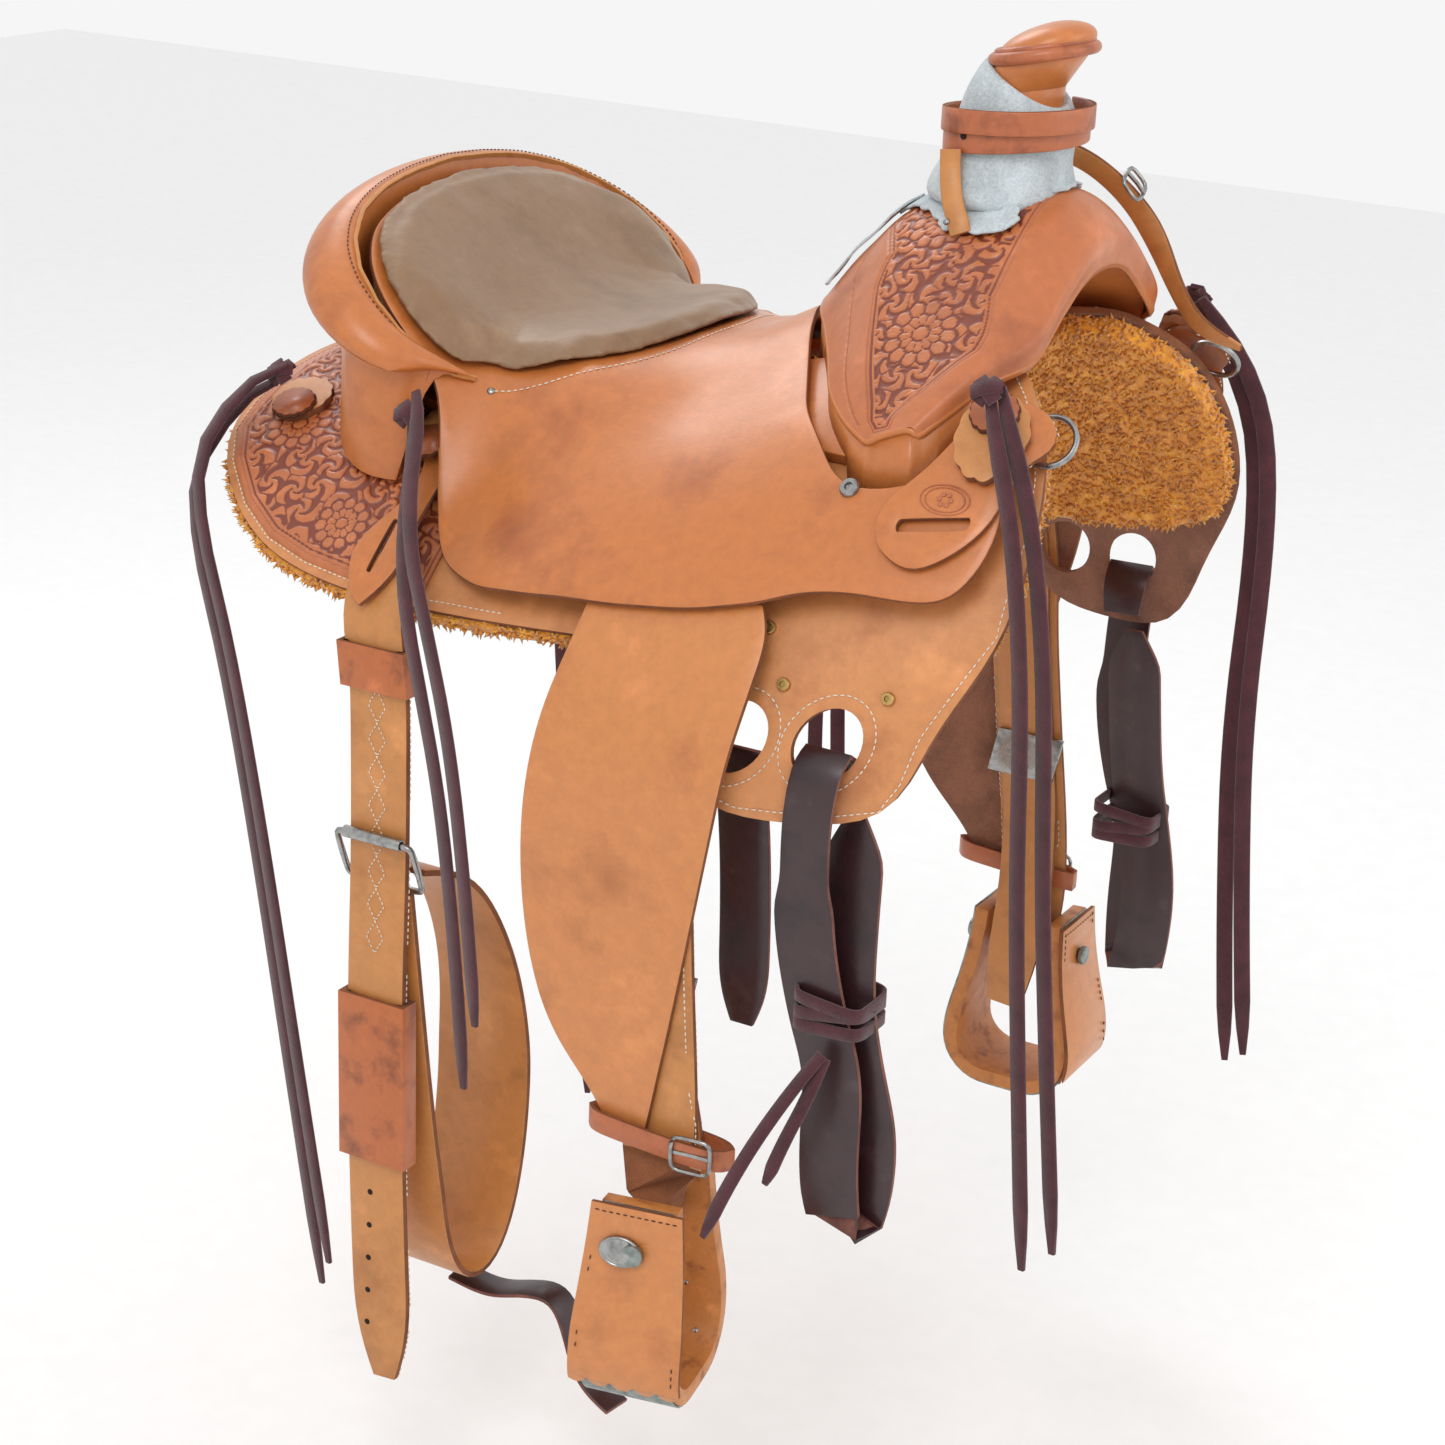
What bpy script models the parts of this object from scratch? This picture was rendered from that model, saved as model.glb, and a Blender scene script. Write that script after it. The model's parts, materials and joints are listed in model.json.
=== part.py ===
"""A western stock saddle: each leather, wood, fleece and metal piece is one closed solid.

Metres. +X is the horse's front, +Y the horse's left, +Z up. The origin is on the midline,
where the underside of the saddle crosses the back.
"""

import math

import bpy
import numpy as np
from mathutils import Vector
from mathutils.geometry import delaunay_2d_cdt

for old in list(bpy.data.objects):
    bpy.data.objects.remove(old, do_unlink=True)

# ---- driving sizes ----
GAP = 0.0006  # air between two pieces that lie on each other
FLEECE = 0.014  # lining under the skirts
SKIRT = 0.005  # skirt leather
BAR = 0.011  # tree bar
JOCKEY = 0.0045  # seat leather
JOCKEY_STAND = 0.0395  # underside of the jockeys over the back, where the fenders pass below
JOCKEY_REAR = 0.0225  # the same at the rear, where the jockeys lie on the skirts
CARRIER = 0.0045  # front and rear carrier plates
PAD = 0.010  # seat inlay
COVER = 0.0045  # leather over the fork
BACK_REAR = (0.0, 2.9, 0.0)  # back at x = -0.10: slope at the spine, curvature, spine height
BACK_FRONT = (0.628, 1.28, 0.165)  # the same at x = 0.30
BACK_X = (-0.10, 0.30)
BACK_POWER = 1.5
FLANK_TURN = (0.27, 4.3)  # distance from the spine where the flank steepens, and its curvature there
RIG_HOLE = 0.024  # radius of a rigging hole
FENDER_THICK = 0.0045
LEATHER = 0.004  # stirrup leather
LEATHER_WIDTH = 0.060
STIRRUP_W = 0.120  # outer width of a stirrup
STIRRUP_H = 0.128  # bolt to the underside of the tread
STIRRUP_NECK = 0.032  # legs above the bolt
STIRRUP_YAW = 0.19  # turn of the right stirrup towards the front, in radians
STIRRUP_D = 0.074  # depth of the tread, fore and aft
STIRRUP_Z = -0.512  # bolt of a stirrup
BOLT_R = 0.005
LATIGO_W = 0.045
LATIGO = 0.0035
BILLET_W = 0.050
BILLET = 0.0055
CINCH_W = 0.086
DEE_R = 0.0185  # dee ring, centre of its wire
DEE_WIRE = 0.0022
STRING = 0.0032
STRING_W = 0.013

TAN = (0.58, 0.20, 0.055, 1.0)
RUSSET = (0.36, 0.10, 0.03, 1.0)
DARK = (0.045, 0.015, 0.018, 1.0)
BURGUNDY = (0.09, 0.02, 0.028, 1.0)


# ---- building blocks ----
def material(name, colour, rough=0.5, metal=0.0):
    """A plain viewport colour for the pieces of one stuff."""
    made = bpy.data.materials.new(name)
    made.use_nodes = True
    shader = made.node_tree.nodes["Principled BSDF"]
    shader.inputs["Base Color"].default_value = colour
    shader.inputs["Roughness"].default_value = rough
    shader.inputs["Metallic"].default_value = metal
    return made


def solid(name, points, faces, look):
    """A closed mesh object, its faces turned outward."""
    points = np.asarray(points, float)
    volume = 0.0
    for face in faces:
        for i in range(1, len(face) - 1):
            a, b, c = points[[face[0], face[i], face[i + 1]]]
            volume += np.dot(a, np.cross(b, c))
    if volume < 0:
        faces = [tuple(reversed(face)) for face in faces]
    mesh = bpy.data.meshes.new(name)
    mesh.from_pydata([tuple(p) for p in points], [], [tuple(map(int, f)) for f in faces])
    mesh.validate()
    mesh.materials.append(material(name, *look))
    made = bpy.data.objects.new(name, mesh)
    bpy.context.scene.collection.objects.link(made)
    return made


def inside(point, ring):
    """True for a point inside a closed outline."""
    found = False
    for i, (x0, y0) in enumerate(ring):
        x1, y1 = ring[i - 1]
        if (y0 > point[1]) != (y1 > point[1]):
            if point[0] < (x1 - x0) * (point[1] - y0) / (y1 - y0) + x0:
                found = not found
    return found


def round_off(ring, times=1):
    """Corner cutting: a smoother closed outline."""
    for _ in range(times):
        made = []
        for i, p in enumerate(ring):
            q = ring[(i + 1) % len(ring)]
            made.append((p[0] * 0.75 + q[0] * 0.25, p[1] * 0.75 + q[1] * 0.25))
            made.append((p[0] * 0.25 + q[0] * 0.75, p[1] * 0.25 + q[1] * 0.75))
        ring = made
    return ring


def resample(ring, step):
    """Points at an even spacing round a closed outline."""
    ring = np.array(list(ring) + [ring[0]], float)
    along = np.concatenate([[0], np.cumsum(np.linalg.norm(np.diff(ring, axis=0), axis=1))])
    count = max(6, int(round(along[-1] / step)))
    at = np.linspace(0, along[-1], count, endpoint=False)
    return [(float(np.interp(t, along, ring[:, 0])), float(np.interp(t, along, ring[:, 1]))) for t in at]


def circle(x, y, r, count):
    """Points round a circle."""
    turns = [2 * math.pi * i / count for i in range(count)]
    return [(x + r * math.cos(t), y + r * math.sin(t)) for t in turns]


def triangulate(outline, holes, step):
    """Points and triangles that fill an outline round its holes, on one common lattice."""
    points = []
    edges = []
    for ring in [outline] + list(holes):
        first = len(points)
        points += ring
        edges += [(first + i, first + (i + 1) % len(ring)) for i in range(len(ring))]
    rim = np.array(points)
    low, high = rim.min(0), rim.max(0)
    near = 0.45 * min(step)
    for row in range(math.floor(low[1] / step[1]), math.ceil(high[1] / step[1]) + 1):
        for column in range(math.floor(low[0] / step[0]) - 1, math.ceil(high[0] / step[0]) + 1):
            p = ((column + 0.5 * (row % 2)) * step[0], row * step[1])
            if np.linalg.norm(rim - p, axis=1).min() < near:
                continue
            if inside(p, outline) and not any(inside(p, hole) for hole in holes):
                points.append(p)
    found = delaunay_2d_cdt([Vector(p) for p in points], edges, [], 0, 1e-7)
    points = [tuple(p) for p in found[0]]
    faces = []
    for face in found[2]:
        middle = np.mean([points[i] for i in face], axis=0)
        if inside(middle, outline) and not any(inside(middle, h) for h in holes):
            faces.append(tuple(face))
    return points, faces


BACK_STEP = (0.052, 0.022)  # lattice on the back
SEAT_STEP = (0.026, 0.026)  # lattice on the seat


def sheet(name, low, high, outline, look, holes=(), step=BACK_STEP):
    """A solid between two surfaces, each a function of the outline's two coordinates."""
    flat, faces = triangulate(outline, holes, step)
    count = len(flat)
    points = [low(*p) for p in flat] + [high(*p) for p in flat]
    ends = {(a, b) for face in faces for a, b in zip(face, face[1:] + face[:1])}
    made = [tuple(i + count for i in face) for face in faces]
    made += [tuple(reversed(face)) for face in faces]
    for a, b in sorted(ends):
        if (b, a) not in ends:
            made.append((a, b, b + count))
            made.append((a, b + count, a + count))
    return solid(name, points, made, look)


def loft(name, rings, look, closed=False):
    """A skin through rings of equally many points, capped unless it closes on itself."""
    size = len(rings[0])
    points = [p for ring in rings for p in ring]
    faces = []
    for k in range(len(rings) if closed else len(rings) - 1):
        a, b = k * size, ((k + 1) % len(rings)) * size
        for i in range(size):
            j = (i + 1) % size
            faces.append((a + i, a + j, b + j))
            faces.append((a + i, b + j, b + i))
    if not closed:
        last = (len(rings) - 1) * size
        for first, turn in ((0, True), (last, False)):
            middle = len(points)
            points.append(tuple(np.mean(points[first:first + size], axis=0)))
            for i in range(size):
                a, b = first + i, first + (i + 1) % size
                faces.append((b, a, middle) if turn else (a, b, middle))
    return solid(name, points, faces, look)


def smooth_path(path, count):
    """A rounder path with a given number of points, through the first and the last point."""
    path = np.array(path, float)
    for _ in range(2):
        cut = [path[0]]
        for p, q in zip(path[:-1], path[1:]):
            cut += [p * 0.75 + q * 0.25, p * 0.25 + q * 0.75]
        path = np.array(cut + [path[-1]])
    along = np.concatenate([[0], np.cumsum(np.linalg.norm(np.diff(path, axis=0), axis=1))])
    at = np.linspace(0, along[-1], count)
    return np.stack([np.interp(at, along, path[:, i]) for i in range(path.shape[1])], axis=1)


def strap(name, path, across, width, thick, look, closed=False):
    """A flat band along a path. Across gives the direction of its width, at each point or for all."""
    path = np.asarray(path, float)
    count = len(path)
    across = np.asarray(across, float)
    across = np.broadcast_to(across, (count, 3))
    width = np.broadcast_to(np.asarray(width, float), (count,))
    thick = np.broadcast_to(np.asarray(thick, float), (count,))
    if closed:
        along = np.roll(path, -1, axis=0) - np.roll(path, 1, axis=0)
    else:
        along = np.gradient(path, axis=0)
    rings = []
    for p, t, side, w, h in zip(path, along, across, width, thick):
        t = t / np.linalg.norm(t)
        side = side - t * np.dot(side, t)
        side = side / np.linalg.norm(side)
        up = np.cross(t, side)
        rings.append([tuple(p + side * (i * w / 2) + up * (j * h / 2))
                      for i, j in ((-1, -1), (1, -1), (1, 1), (-1, 1))])
    return loft(name, rings, look, closed)


def tube(name, path, radius, look, sides=8, closed=False):
    """A round bar along a path."""
    path = np.asarray(path, float)
    if closed:
        along = np.roll(path, -1, axis=0) - np.roll(path, 1, axis=0)
    else:
        along = np.gradient(path, axis=0)
    radius = np.broadcast_to(np.asarray(radius, float), (len(path),))
    rings = []
    side = np.array([0.0, 0.0,
        1.0]) if abs(along[0][2]) < 0.9 * np.linalg.norm(along[0]) else np.array([1.0, 0, 0])
    for p, t, r in zip(path, along, radius):
        t = t / np.linalg.norm(t)
        side = side - t * np.dot(side, t)
        side = side / np.linalg.norm(side)
        up = np.cross(t, side)
        turns = [2 * math.pi * i / sides for i in range(sides)]
        rings.append([tuple(p + r * (math.cos(a) * side + math.sin(a) * up)) for a in turns])
    return loft(name, rings, look, closed)


def boolean(target, cutter, operation):
    """Applies an exact Boolean and removes the second object."""
    step = target.modifiers.new("cut", "BOOLEAN")
    step.operation = operation
    step.solver = "EXACT"
    step.object = cutter
    graph = bpy.context.evaluated_depsgraph_get()
    mesh = bpy.data.meshes.new_from_object(target.evaluated_get(graph))
    target.modifiers.remove(step)
    target.data = mesh
    bpy.data.objects.remove(cutter, do_unlink=True)
    return target


# ---- the horse's back ----
def back_shape(x):
    """Slope at the spine, curvature and spine height of the back's cross-section at x."""
    part = (max(x - BACK_X[0], 0.0) / (BACK_X[1] - BACK_X[0])) ** BACK_POWER
    return [r + (f - r) * part for r, f in zip(BACK_REAR, BACK_FRONT)]


def bed(x, s, lift, side):
    """The point over the back at x, a distance s round from the spine."""
    slope, bend, top = back_shape(x)
    first, steep = FLANK_TURN
    turn = slope + bend * min(s, first)
    y = (math.sin(turn) - math.sin(slope)) / bend
    z = top - (math.cos(slope) - math.cos(turn)) / bend
    if s > first:
        last = turn + steep * (s - first)
        y += (math.sin(last) - math.sin(turn)) / steep
        z -= (math.cos(turn) - math.cos(last)) / steep
        turn = last
    return (x, side * (y + lift * math.sin(turn)), z + lift * math.cos(turn))


def bed_height(x, y, lift):
    """Height of the lifted back over a point of the ground plan."""
    slope, bend, top = back_shape(x)
    reach = abs(y) + math.sin(slope) / bend
    return top - math.cos(slope) / bend + math.sqrt((1 / bend + lift) ** 2 - reach ** 2)


def on_bed(side, lift):
    """A point that lies on the surface over the horse, a lift above it."""
    return lambda x, s: bed(x, s, lift(x, s) if callable(lift) else lift, side)


# ---- skirts, fleece and bars ----
SKIRT_EDGE = [
    (0.257, 0.080), (0.293, 0.133), (0.313, 0.169), (0.325, 0.209), (0.332, 0.253), (0.331, 0.318),
    (0.309, 0.352), (0.294, 0.375), (0.284, 0.405), (0.269, 0.424), (0.235, 0.424), (0.170, 0.414),
    (0.142, 0.402), (0.122, 0.370), (0.092, 0.322), (0.060, 0.300), (0.028, 0.296), (-0.075, 0.291),
    (-0.157, 0.291), (-0.211, 0.284), (-0.252, 0.272), (-0.288, 0.249), (-0.322, 0.215), (-0.340, 0.184),
    (-0.344, 0.152), (-0.343, 0.100), (-0.330, 0.030), (-0.320, 0.012), (-0.200, 0.008), (-0.05, 0.012),
    (0.06, 0.030), (0.18, 0.055),
]
FLEECE_EDGE = [
    (0.257, 0.082), (0.290, 0.133), (0.310, 0.169), (0.322, 0.209), (0.328, 0.253), (0.328, 0.314),
    (0.308, 0.334), (0.250, 0.333), (0.180, 0.328), (0.120, 0.314), (0.060, 0.303), (0.028, 0.299),
    (-0.075, 0.294), (-0.157, 0.294), (-0.212, 0.287), (-0.254, 0.275), (-0.290, 0.252), (-0.324, 0.217),
    (-0.342, 0.185), (-0.346, 0.152), (-0.345, 0.100), (-0.332, 0.030), (-0.322, 0.014), (-0.200, 0.010),
    (-0.05, 0.014), (0.06, 0.032), (0.18, 0.057),
]
RIG_HOLES = [(0.228, 0.371), (0.164, 0.362)]
SKIRT_LIFT = FLEECE + 2 * GAP
SKIRT_TOP = SKIRT_LIFT + SKIRT


def make_skirts(side, word):
    """The skirts, with the fleece under each."""
    edge = resample(round_off(SKIRT_EDGE), 0.026)
    holes = [circle(x, s, RIG_HOLE, 16) for x, s in RIG_HOLES]
    look = (TAN, 0.5)
    sheet("skirt_" + word, on_bed(side, SKIRT_LIFT), on_bed(side, SKIRT_TOP), edge, look, holes)
    lining = resample(round_off(FLEECE_EDGE), 0.028)
    sheet("fleece_" + word, on_bed(side, 0.0), on_bed(side, FLEECE), lining, ((0.60, 0.27, 0.03, 1), 0.95))
    bar = [(0.254, 0.100), (0.277, 0.150), (0.272, 0.190), (0.200, 0.180), (0.100, 0.140), (0.0, 0.130),
           (-0.120, 0.128), (-0.205, 0.128), (-0.232, 0.100), (-0.235, 0.055), (-0.200, 0.032),
           (-0.100, 0.032),
           (0.050, 0.049), (0.180, 0.072)]
    bar = resample(round_off(bar), 0.034)
    low = SKIRT_TOP + GAP
    sheet("tree_bar_" + word, on_bed(side, low), on_bed(side, low + BAR), bar, ((0.62, 0.50, 0.33, 1), 0.6))


# ---- seat ----
CANTLE_RIM = [
    (-0.131, 0.161, 0.034), (-0.154, 0.184, 0.053), (-0.173, 0.194, 0.072), (-0.192, 0.195, 0.091),
    (-0.214, 0.186, 0.111), (-0.233, 0.166, 0.128), (-0.248, 0.136, 0.143), (-0.257, 0.095, 0.154),
    (-0.261, 0.048, 0.160), (-0.262, 0.000, 0.162),
]
PAD_FRONT = [(-0.124, 0.157, 0.036), (-0.071, 0.140, 0.050), (-0.039, 0.108, 0.056), (-0.020, 0.075, 0.062),
             (-0.008, 0.040, 0.068), (-0.003, 0.0, 0.072)]
SEAT_MIDLINE = [(0.076, 0.100), (0.045, 0.083), (0.017, 0.070), (-0.06, 0.053), (-0.10, 0.050),
    (-0.14, 0.057),
                (-0.18, 0.077), (-0.21, 0.101), (-0.235, 0.128)]
SWELL_FOOT = [(0.111, 0.068, 0.092), (0.157, 0.146, 0.064), (0.208, 0.191, 0.040), (0.232, 0.186, 0.049),
              (0.280, 0.166, 0.074)]
JOCKEY_EDGE = [(0.312, 0.190), (0.316, 0.204), (0.313, 0.222), (0.305, 0.236), (0.292, 0.242),
    (0.264, 0.246),
               (0.228, 0.248), (0.194, 0.253), (0.169, 0.262), (0.120, 0.271), (0.053, 0.277),
               (-0.011, 0.279),
               (-0.051, 0.274), (-0.085, 0.260), (-0.110, 0.237), (-0.128, 0.210)]


def jockey_lift(x):
    """Height of the jockeys' outer face over the back: higher where the fenders pass below."""
    part = min(max((x + 0.105) / 0.085, 0.0), 1.0)
    part = part * part * (3 - 2 * part)
    return JOCKEY_REAR + (JOCKEY_STAND - JOCKEY_REAR) * part + JOCKEY


def thin_plate(points):
    """The smoothest height function through scattered points."""
    points = np.array(points)
    flat = points[:, :2]

    def kernel(r):
        return np.where(r > 1e-9, r * r * np.log(np.maximum(r, 1e-9)), 0.0)

    size = len(flat)
    gap = np.linalg.norm(flat[:, None] - flat[None], axis=2)
    ones = np.hstack([np.ones((size, 1)), flat])
    whole = np.block([[kernel(gap) + 1e-7 * np.eye(size), ones], [ones.T, np.zeros((3, 3))]])
    weights = np.linalg.solve(whole, np.concatenate([points[:, 2], np.zeros(3)]))

    def height(x, y):
        near = kernel(np.hypot(flat[:, 0] - x, flat[:, 1] - y))
        return float(near @ weights[:size] + weights[size] + weights[size + 1] * x + weights[size + 2] * y)

    return height


def seat_controls():
    """The control points of the seat surface."""
    found = [(x, 0.0, z) for x, z in SEAT_MIDLINE]
    for x, y, z in CANTLE_RIM[1:]:
        found += [(x, t * y, z - 0.006) for t in ((1, -1) if y else (1,))]
    for x, y, z in PAD_FRONT:
        found += [(x, t * y, z) for t in ((1, -1) if y else (1,))]
    for x, y, z in SWELL_FOOT:
        found += [(x, t * y, z - 0.006) for t in (1, -1)]
    for x, y, z in ((-0.10, 0.075, 0.049), (-0.15, 0.10, 0.056), (0.04, 0.06, 0.074), (0.03, 0.12, 0.042)):
        found += [(x, t * y, z) for t in (1, -1)]
    for x in (-0.11, -0.06, 0.0, 0.06, 0.12, 0.18, 0.24, 0.30):
        for y in ((0.215, 0.245, 0.275) if x < 0.15 else (0.225, 0.250)):
            if x > -0.1 or y < 0.25:
                found += [(x, t * y, bed_height(x, y, jockey_lift(x))) for t in (1, -1)]
    return found


seat_height = thin_plate(seat_controls())


def on_seat(lift):
    """Points over the seat's upper face, set off square to it."""
    def at(x, y):
        step = 0.001
        slope_x = (seat_height(x + step, y) - seat_height(x - step, y)) / (2 * step)
        slope_y = (seat_height(x, y + step) - seat_height(x, y - step)) / (2 * step)
        normal = np.array([-slope_x, -slope_y, 1.0])
        normal = normal / np.linalg.norm(normal)
        up = lift(x, y) if callable(lift) else lift
        return tuple(np.array([x, y, seat_height(x, y)]) + normal * up)
    return at


def both_sides(half):
    """A closed outline from its near half, the points running from the front to the back midline."""
    return [(x, -y) for x, y in half] + [(x, y) for x, y in reversed(half) if abs(y) > 1e-6]


def seat_outline():
    """The outer edge of the seat leather, jockeys and all."""
    front = [(0.066, 0.0), (0.088, 0.055), (0.134, 0.143), (0.186, 0.197), (0.206, 0.202), (0.236, 0.199),
        (0.284, 0.185)]
    rear = [(x + 0.006, y - 0.006 * (y > 0)) for x, y, _ in CANTLE_RIM[1:]]
    return both_sides(front + JOCKEY_EDGE + rear)


def pad_outline():
    """The edge of the padded inlay."""
    front = [(x, y) for x, y, _ in reversed(PAD_FRONT[1:])] + [(-0.128, 0.150)]
    rear = [(x + 0.004, y - 0.009 * (y > 0)) for x, y, _ in CANTLE_RIM[1:]]
    return both_sides(front + rear)


def make_seat():
    """The seat leather and its pad."""
    sheet("seat_leather", on_seat(-JOCKEY), on_seat(0.0), resample(seat_outline(), 0.022), (TAN, 0.4), (),
        SEAT_STEP)
    edge = resample(pad_outline(), 0.022)
    rim = np.array(edge)

    def puff(x, y):
        reach = np.linalg.norm(rim - (x, y), axis=1).min()
        return 3 * GAP + 0.0035 + (PAD - 0.0035) * min(reach / 0.035, 1.0) ** 0.6

    sheet("seat_pad", on_seat(3 * GAP), on_seat(puff), edge, ((0.16, 0.105, 0.06, 1), 0.5), (), SEAT_STEP)


def make_cantle():
    """The tree's cantle, and the rolled leather that covers its rim and back."""
    inner = [(-0.150, 0.0), (-0.150, 0.120), (-0.165, 0.168), (-0.205, 0.176), (-0.228, 0.154),
        (-0.241, 0.125),
             (-0.249, 0.088), (-0.252, 0.0)]
    low = SKIRT_TOP + GAP + BAR + GAP
    sheet("tree_cantle", lambda x, y: (x, y, max(bed_height(x, y, low), bed_height(x, 0.05, low))),
          on_seat(-JOCKEY - 0.003), resample(both_sides(inner), 0.035),
          ((0.62, 0.50, 0.33, 1), 0.6), (), SEAT_STEP)
    line = [(x, -y, z) for x, y, z in CANTLE_RIM] + [(x, y, z) for x, y, z in reversed(CANTLE_RIM[:-1])]
    line = np.array(line)
    rings = []
    for i, p in enumerate(line):
        t = line[min(i + 1, len(line) - 1)] - line[max(i - 1, 0)]
        out = np.array([t[1], -t[0], 0.0])
        if np.dot(out[:2], p[:2] - np.array([-0.10, 0.0])) < 0:
            out = -out
        out = out / np.linalg.norm(out)
        end = min(i, len(line) - 1 - i)
        size = min(0.30 + 0.20 * end, 1.0)
        foot_at = p + out * 0.016
        foot = bed_height(foot_at[0], foot_at[1], SKIRT_TOP + 0.008)
        if end < 2:
            foot = max(seat_height(p[0], p[1]), seat_height(foot_at[0], foot_at[1])) + 0.0015
            if end == 0:
                foot = max(foot, p[2] - 0.004)
        size = min(size, (p[2] + 0.006 - foot) / 0.046) if end < 2 else size
        section = [(0.0, 0.000), (0.007, 0.003), (0.018, 0.002), (0.030, -0.005), (0.039, -0.016),
            (0.041, -0.028),
                   (0.034, -0.038)]
        base_z = p[2] + (0.006 if end < 2 else 0.0)
        ring = [tuple(p + out * (0.0026 + size * u) + np.array([0, 0, base_z - p[2] + size * v])) for u,
            v in section]
        back = p + out * (0.0026 + size * 0.012)
        deep = foot if end < 2 else min(foot, p[2] - size * 0.0455)
        ring.append((back[0], back[1], base_z - size * 0.044))
        ring.append((back[0], back[1], deep))
        base = p + out * 0.0026
        ring.append((base[0], base[1], deep))
        rings.append(ring)
    loft("cantle_cover", rings, (TAN, 0.42))


# ---- fork, horn and what is on them ----
FORK = [
    # y, then x and z of: rear foot, rear slope, top, front top, front lip, front under
    (0.000, (0.076, 0.104), (0.112, 0.148), (0.158, 0.186), (0.250, 0.205), (0.288, 0.182), (0.290, 0.156)),
    (0.035, (0.086, 0.102), (0.118, 0.143), (0.160, 0.178), (0.250, 0.196), (0.289, 0.174), (0.290, 0.150)),
    (0.070, (0.108, 0.095), (0.134, 0.128), (0.166, 0.154), (0.248, 0.170), (0.288, 0.152), (0.289, 0.130)),
    (0.105, (0.130, 0.084), (0.152, 0.108), (0.178, 0.124), (0.246, 0.138), (0.285, 0.126), (0.287, 0.106)),
    (0.138, (0.150, 0.069), (0.170, 0.088), (0.192, 0.096), (0.240, 0.109), (0.267, 0.108), (0.270, 0.094)),
    (0.165, (0.176, 0.058), (0.190, 0.070), (0.205, 0.075), (0.232, 0.084), (0.250, 0.086), (0.254, 0.076)),
    (0.184, (0.203, 0.051), (0.208, 0.056), (0.214, 0.059), (0.225, 0.064), (0.236, 0.067), (0.240, 0.061)),
]
HORN_AXIS = ((0.200, 0.150), (0.204, 0.190), (0.212, 0.235), (0.2185, 0.268), (0.225, 0.284))


def fork_grid(inset):
    """Points of the fork's outer face, one row for each station, moved in by a distance."""
    rows = []
    for side, stations in ((-1, reversed(FORK)), (1, FORK[1:])):
        for y, *rest in stations:
            rows.append([(x, side * y, z) for x, z in rest])
    grid = np.array(rows)
    along = np.gradient(grid, axis=0)
    over = np.gradient(grid, axis=1)
    normal = np.cross(along, over)
    normal /= np.linalg.norm(normal, axis=2, keepdims=True)
    if normal[len(rows) // 2, 2, 2] < 0:
        normal = -normal
    return grid - normal * inset


def grid_shell(name, upper, lower, look):
    """A solid between two grids of points."""
    rows, columns = upper.shape[:2]
    points = list(upper.reshape(-1, 3)) + list(lower.reshape(-1, 3))
    count = rows * columns
    faces = []
    for r in range(rows - 1):
        for c in range(columns - 1):
            a = r * columns + c
            b, d, e = a + 1, a + columns, a + columns + 1
            faces += [(a, b, e), (a, e, d), (count + a, count + e, count + b),
                (count + a, count + d, count + e)]
    ring = [c for c in range(columns)]
    ring += [r * columns + columns - 1 for r in range(1, rows)]
    ring += [(rows - 1) * columns + c for c in range(columns - 2, -1, -1)]
    ring += [r * columns for r in range(rows - 2, 0, -1)]
    for i, a in enumerate(ring):
        b = ring[(i + 1) % len(ring)]
        faces += [(b, a, count + a), (b, count + a, count + b)]
    return solid(name, points, faces, look)


def ring_at(centre, lean, rx, ry, count):
    """An ellipse square to a leaning axis in the XZ plane."""
    made = []
    for i in range(count):
        t = 2 * math.pi * i / count
        u, v = rx * math.cos(t), ry * math.sin(t)
        made.append((centre[0] + u * math.cos(lean), v, centre[1] - u * math.sin(lean)))
    return made


def horn_rings(sizes, count=20):
    """Rings up the horn: each size is height along the neck, half length, half width and lean."""
    rings = []
    heights = [z for _, z in HORN_AXIS]
    for z, rx, ry, lean in sizes:
        x = float(np.interp(z, heights, [p[0] for p in HORN_AXIS]))
        rings.append(ring_at((x, z), lean, rx, ry, count))
    return rings


def make_fork():
    """The wooden fork and the cover over its swells."""
    outer = fork_grid(0.0)
    inner = fork_grid(COVER)
    cover = grid_shell("swell_cover", outer, inner, (TAN, 0.45))
    wood = fork_grid(COVER + GAP)[1:-1]
    wood[:, 0] += (wood[:, 1] - wood[:, 0]) * 0.20
    wood[:, -1] += (wood[:, -2] - wood[:, -1]) * 0.20
    under = wood.copy()
    for r in range(under.shape[0]):
        y = abs(under[r, 3, 1])
        for c in range(under.shape[1]):
            x = under[r, c, 0]
            drop = 0.050 - 0.10 * max(y - 0.09, 0)
            low = SKIRT_TOP + GAP + BAR + GAP
            z = wood[r, c, 2] - (0.012 + drop * math.sin(math.pi * min(max((c + 0.5) / 6, 0), 1)) * 0.8)
            under[r, c, 2] = max(z, bed_height(x, under[r, c, 1], low) + 0.006)
            under[r, c, 2] = min(under[r, c, 2], wood[r, c, 2] - 0.003)
    fork = grid_shell("tree_fork", wood, under, ((0.62, 0.50, 0.33, 1), 0.6))
    neck = horn_rings([(0.160, 0.034, 0.034, 0.0), (0.215, 0.031, 0.031, 0.02), (0.258, 0.030, 0.030, 0.00),
                       (0.2690, 0.0285, 0.0285, -0.20)], 16)
    post = loft("post", neck, (TAN, 0.5))
    boolean(fork, post, "UNION")
    bore = loft("bore", horn_rings([(0.140, 0.0346, 0.0346, 0.0), (0.215, 0.0346, 0.0346, 0.0)], 16),
        (TAN, 0.5))
    boolean(cover, bore, "DIFFERENCE")


def shell_of_rings(name, outer, inner, look):
    """A sleeve between an outer and an inner run of rings."""
    return loft(name, outer + list(reversed(inner)), look, True)


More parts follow.
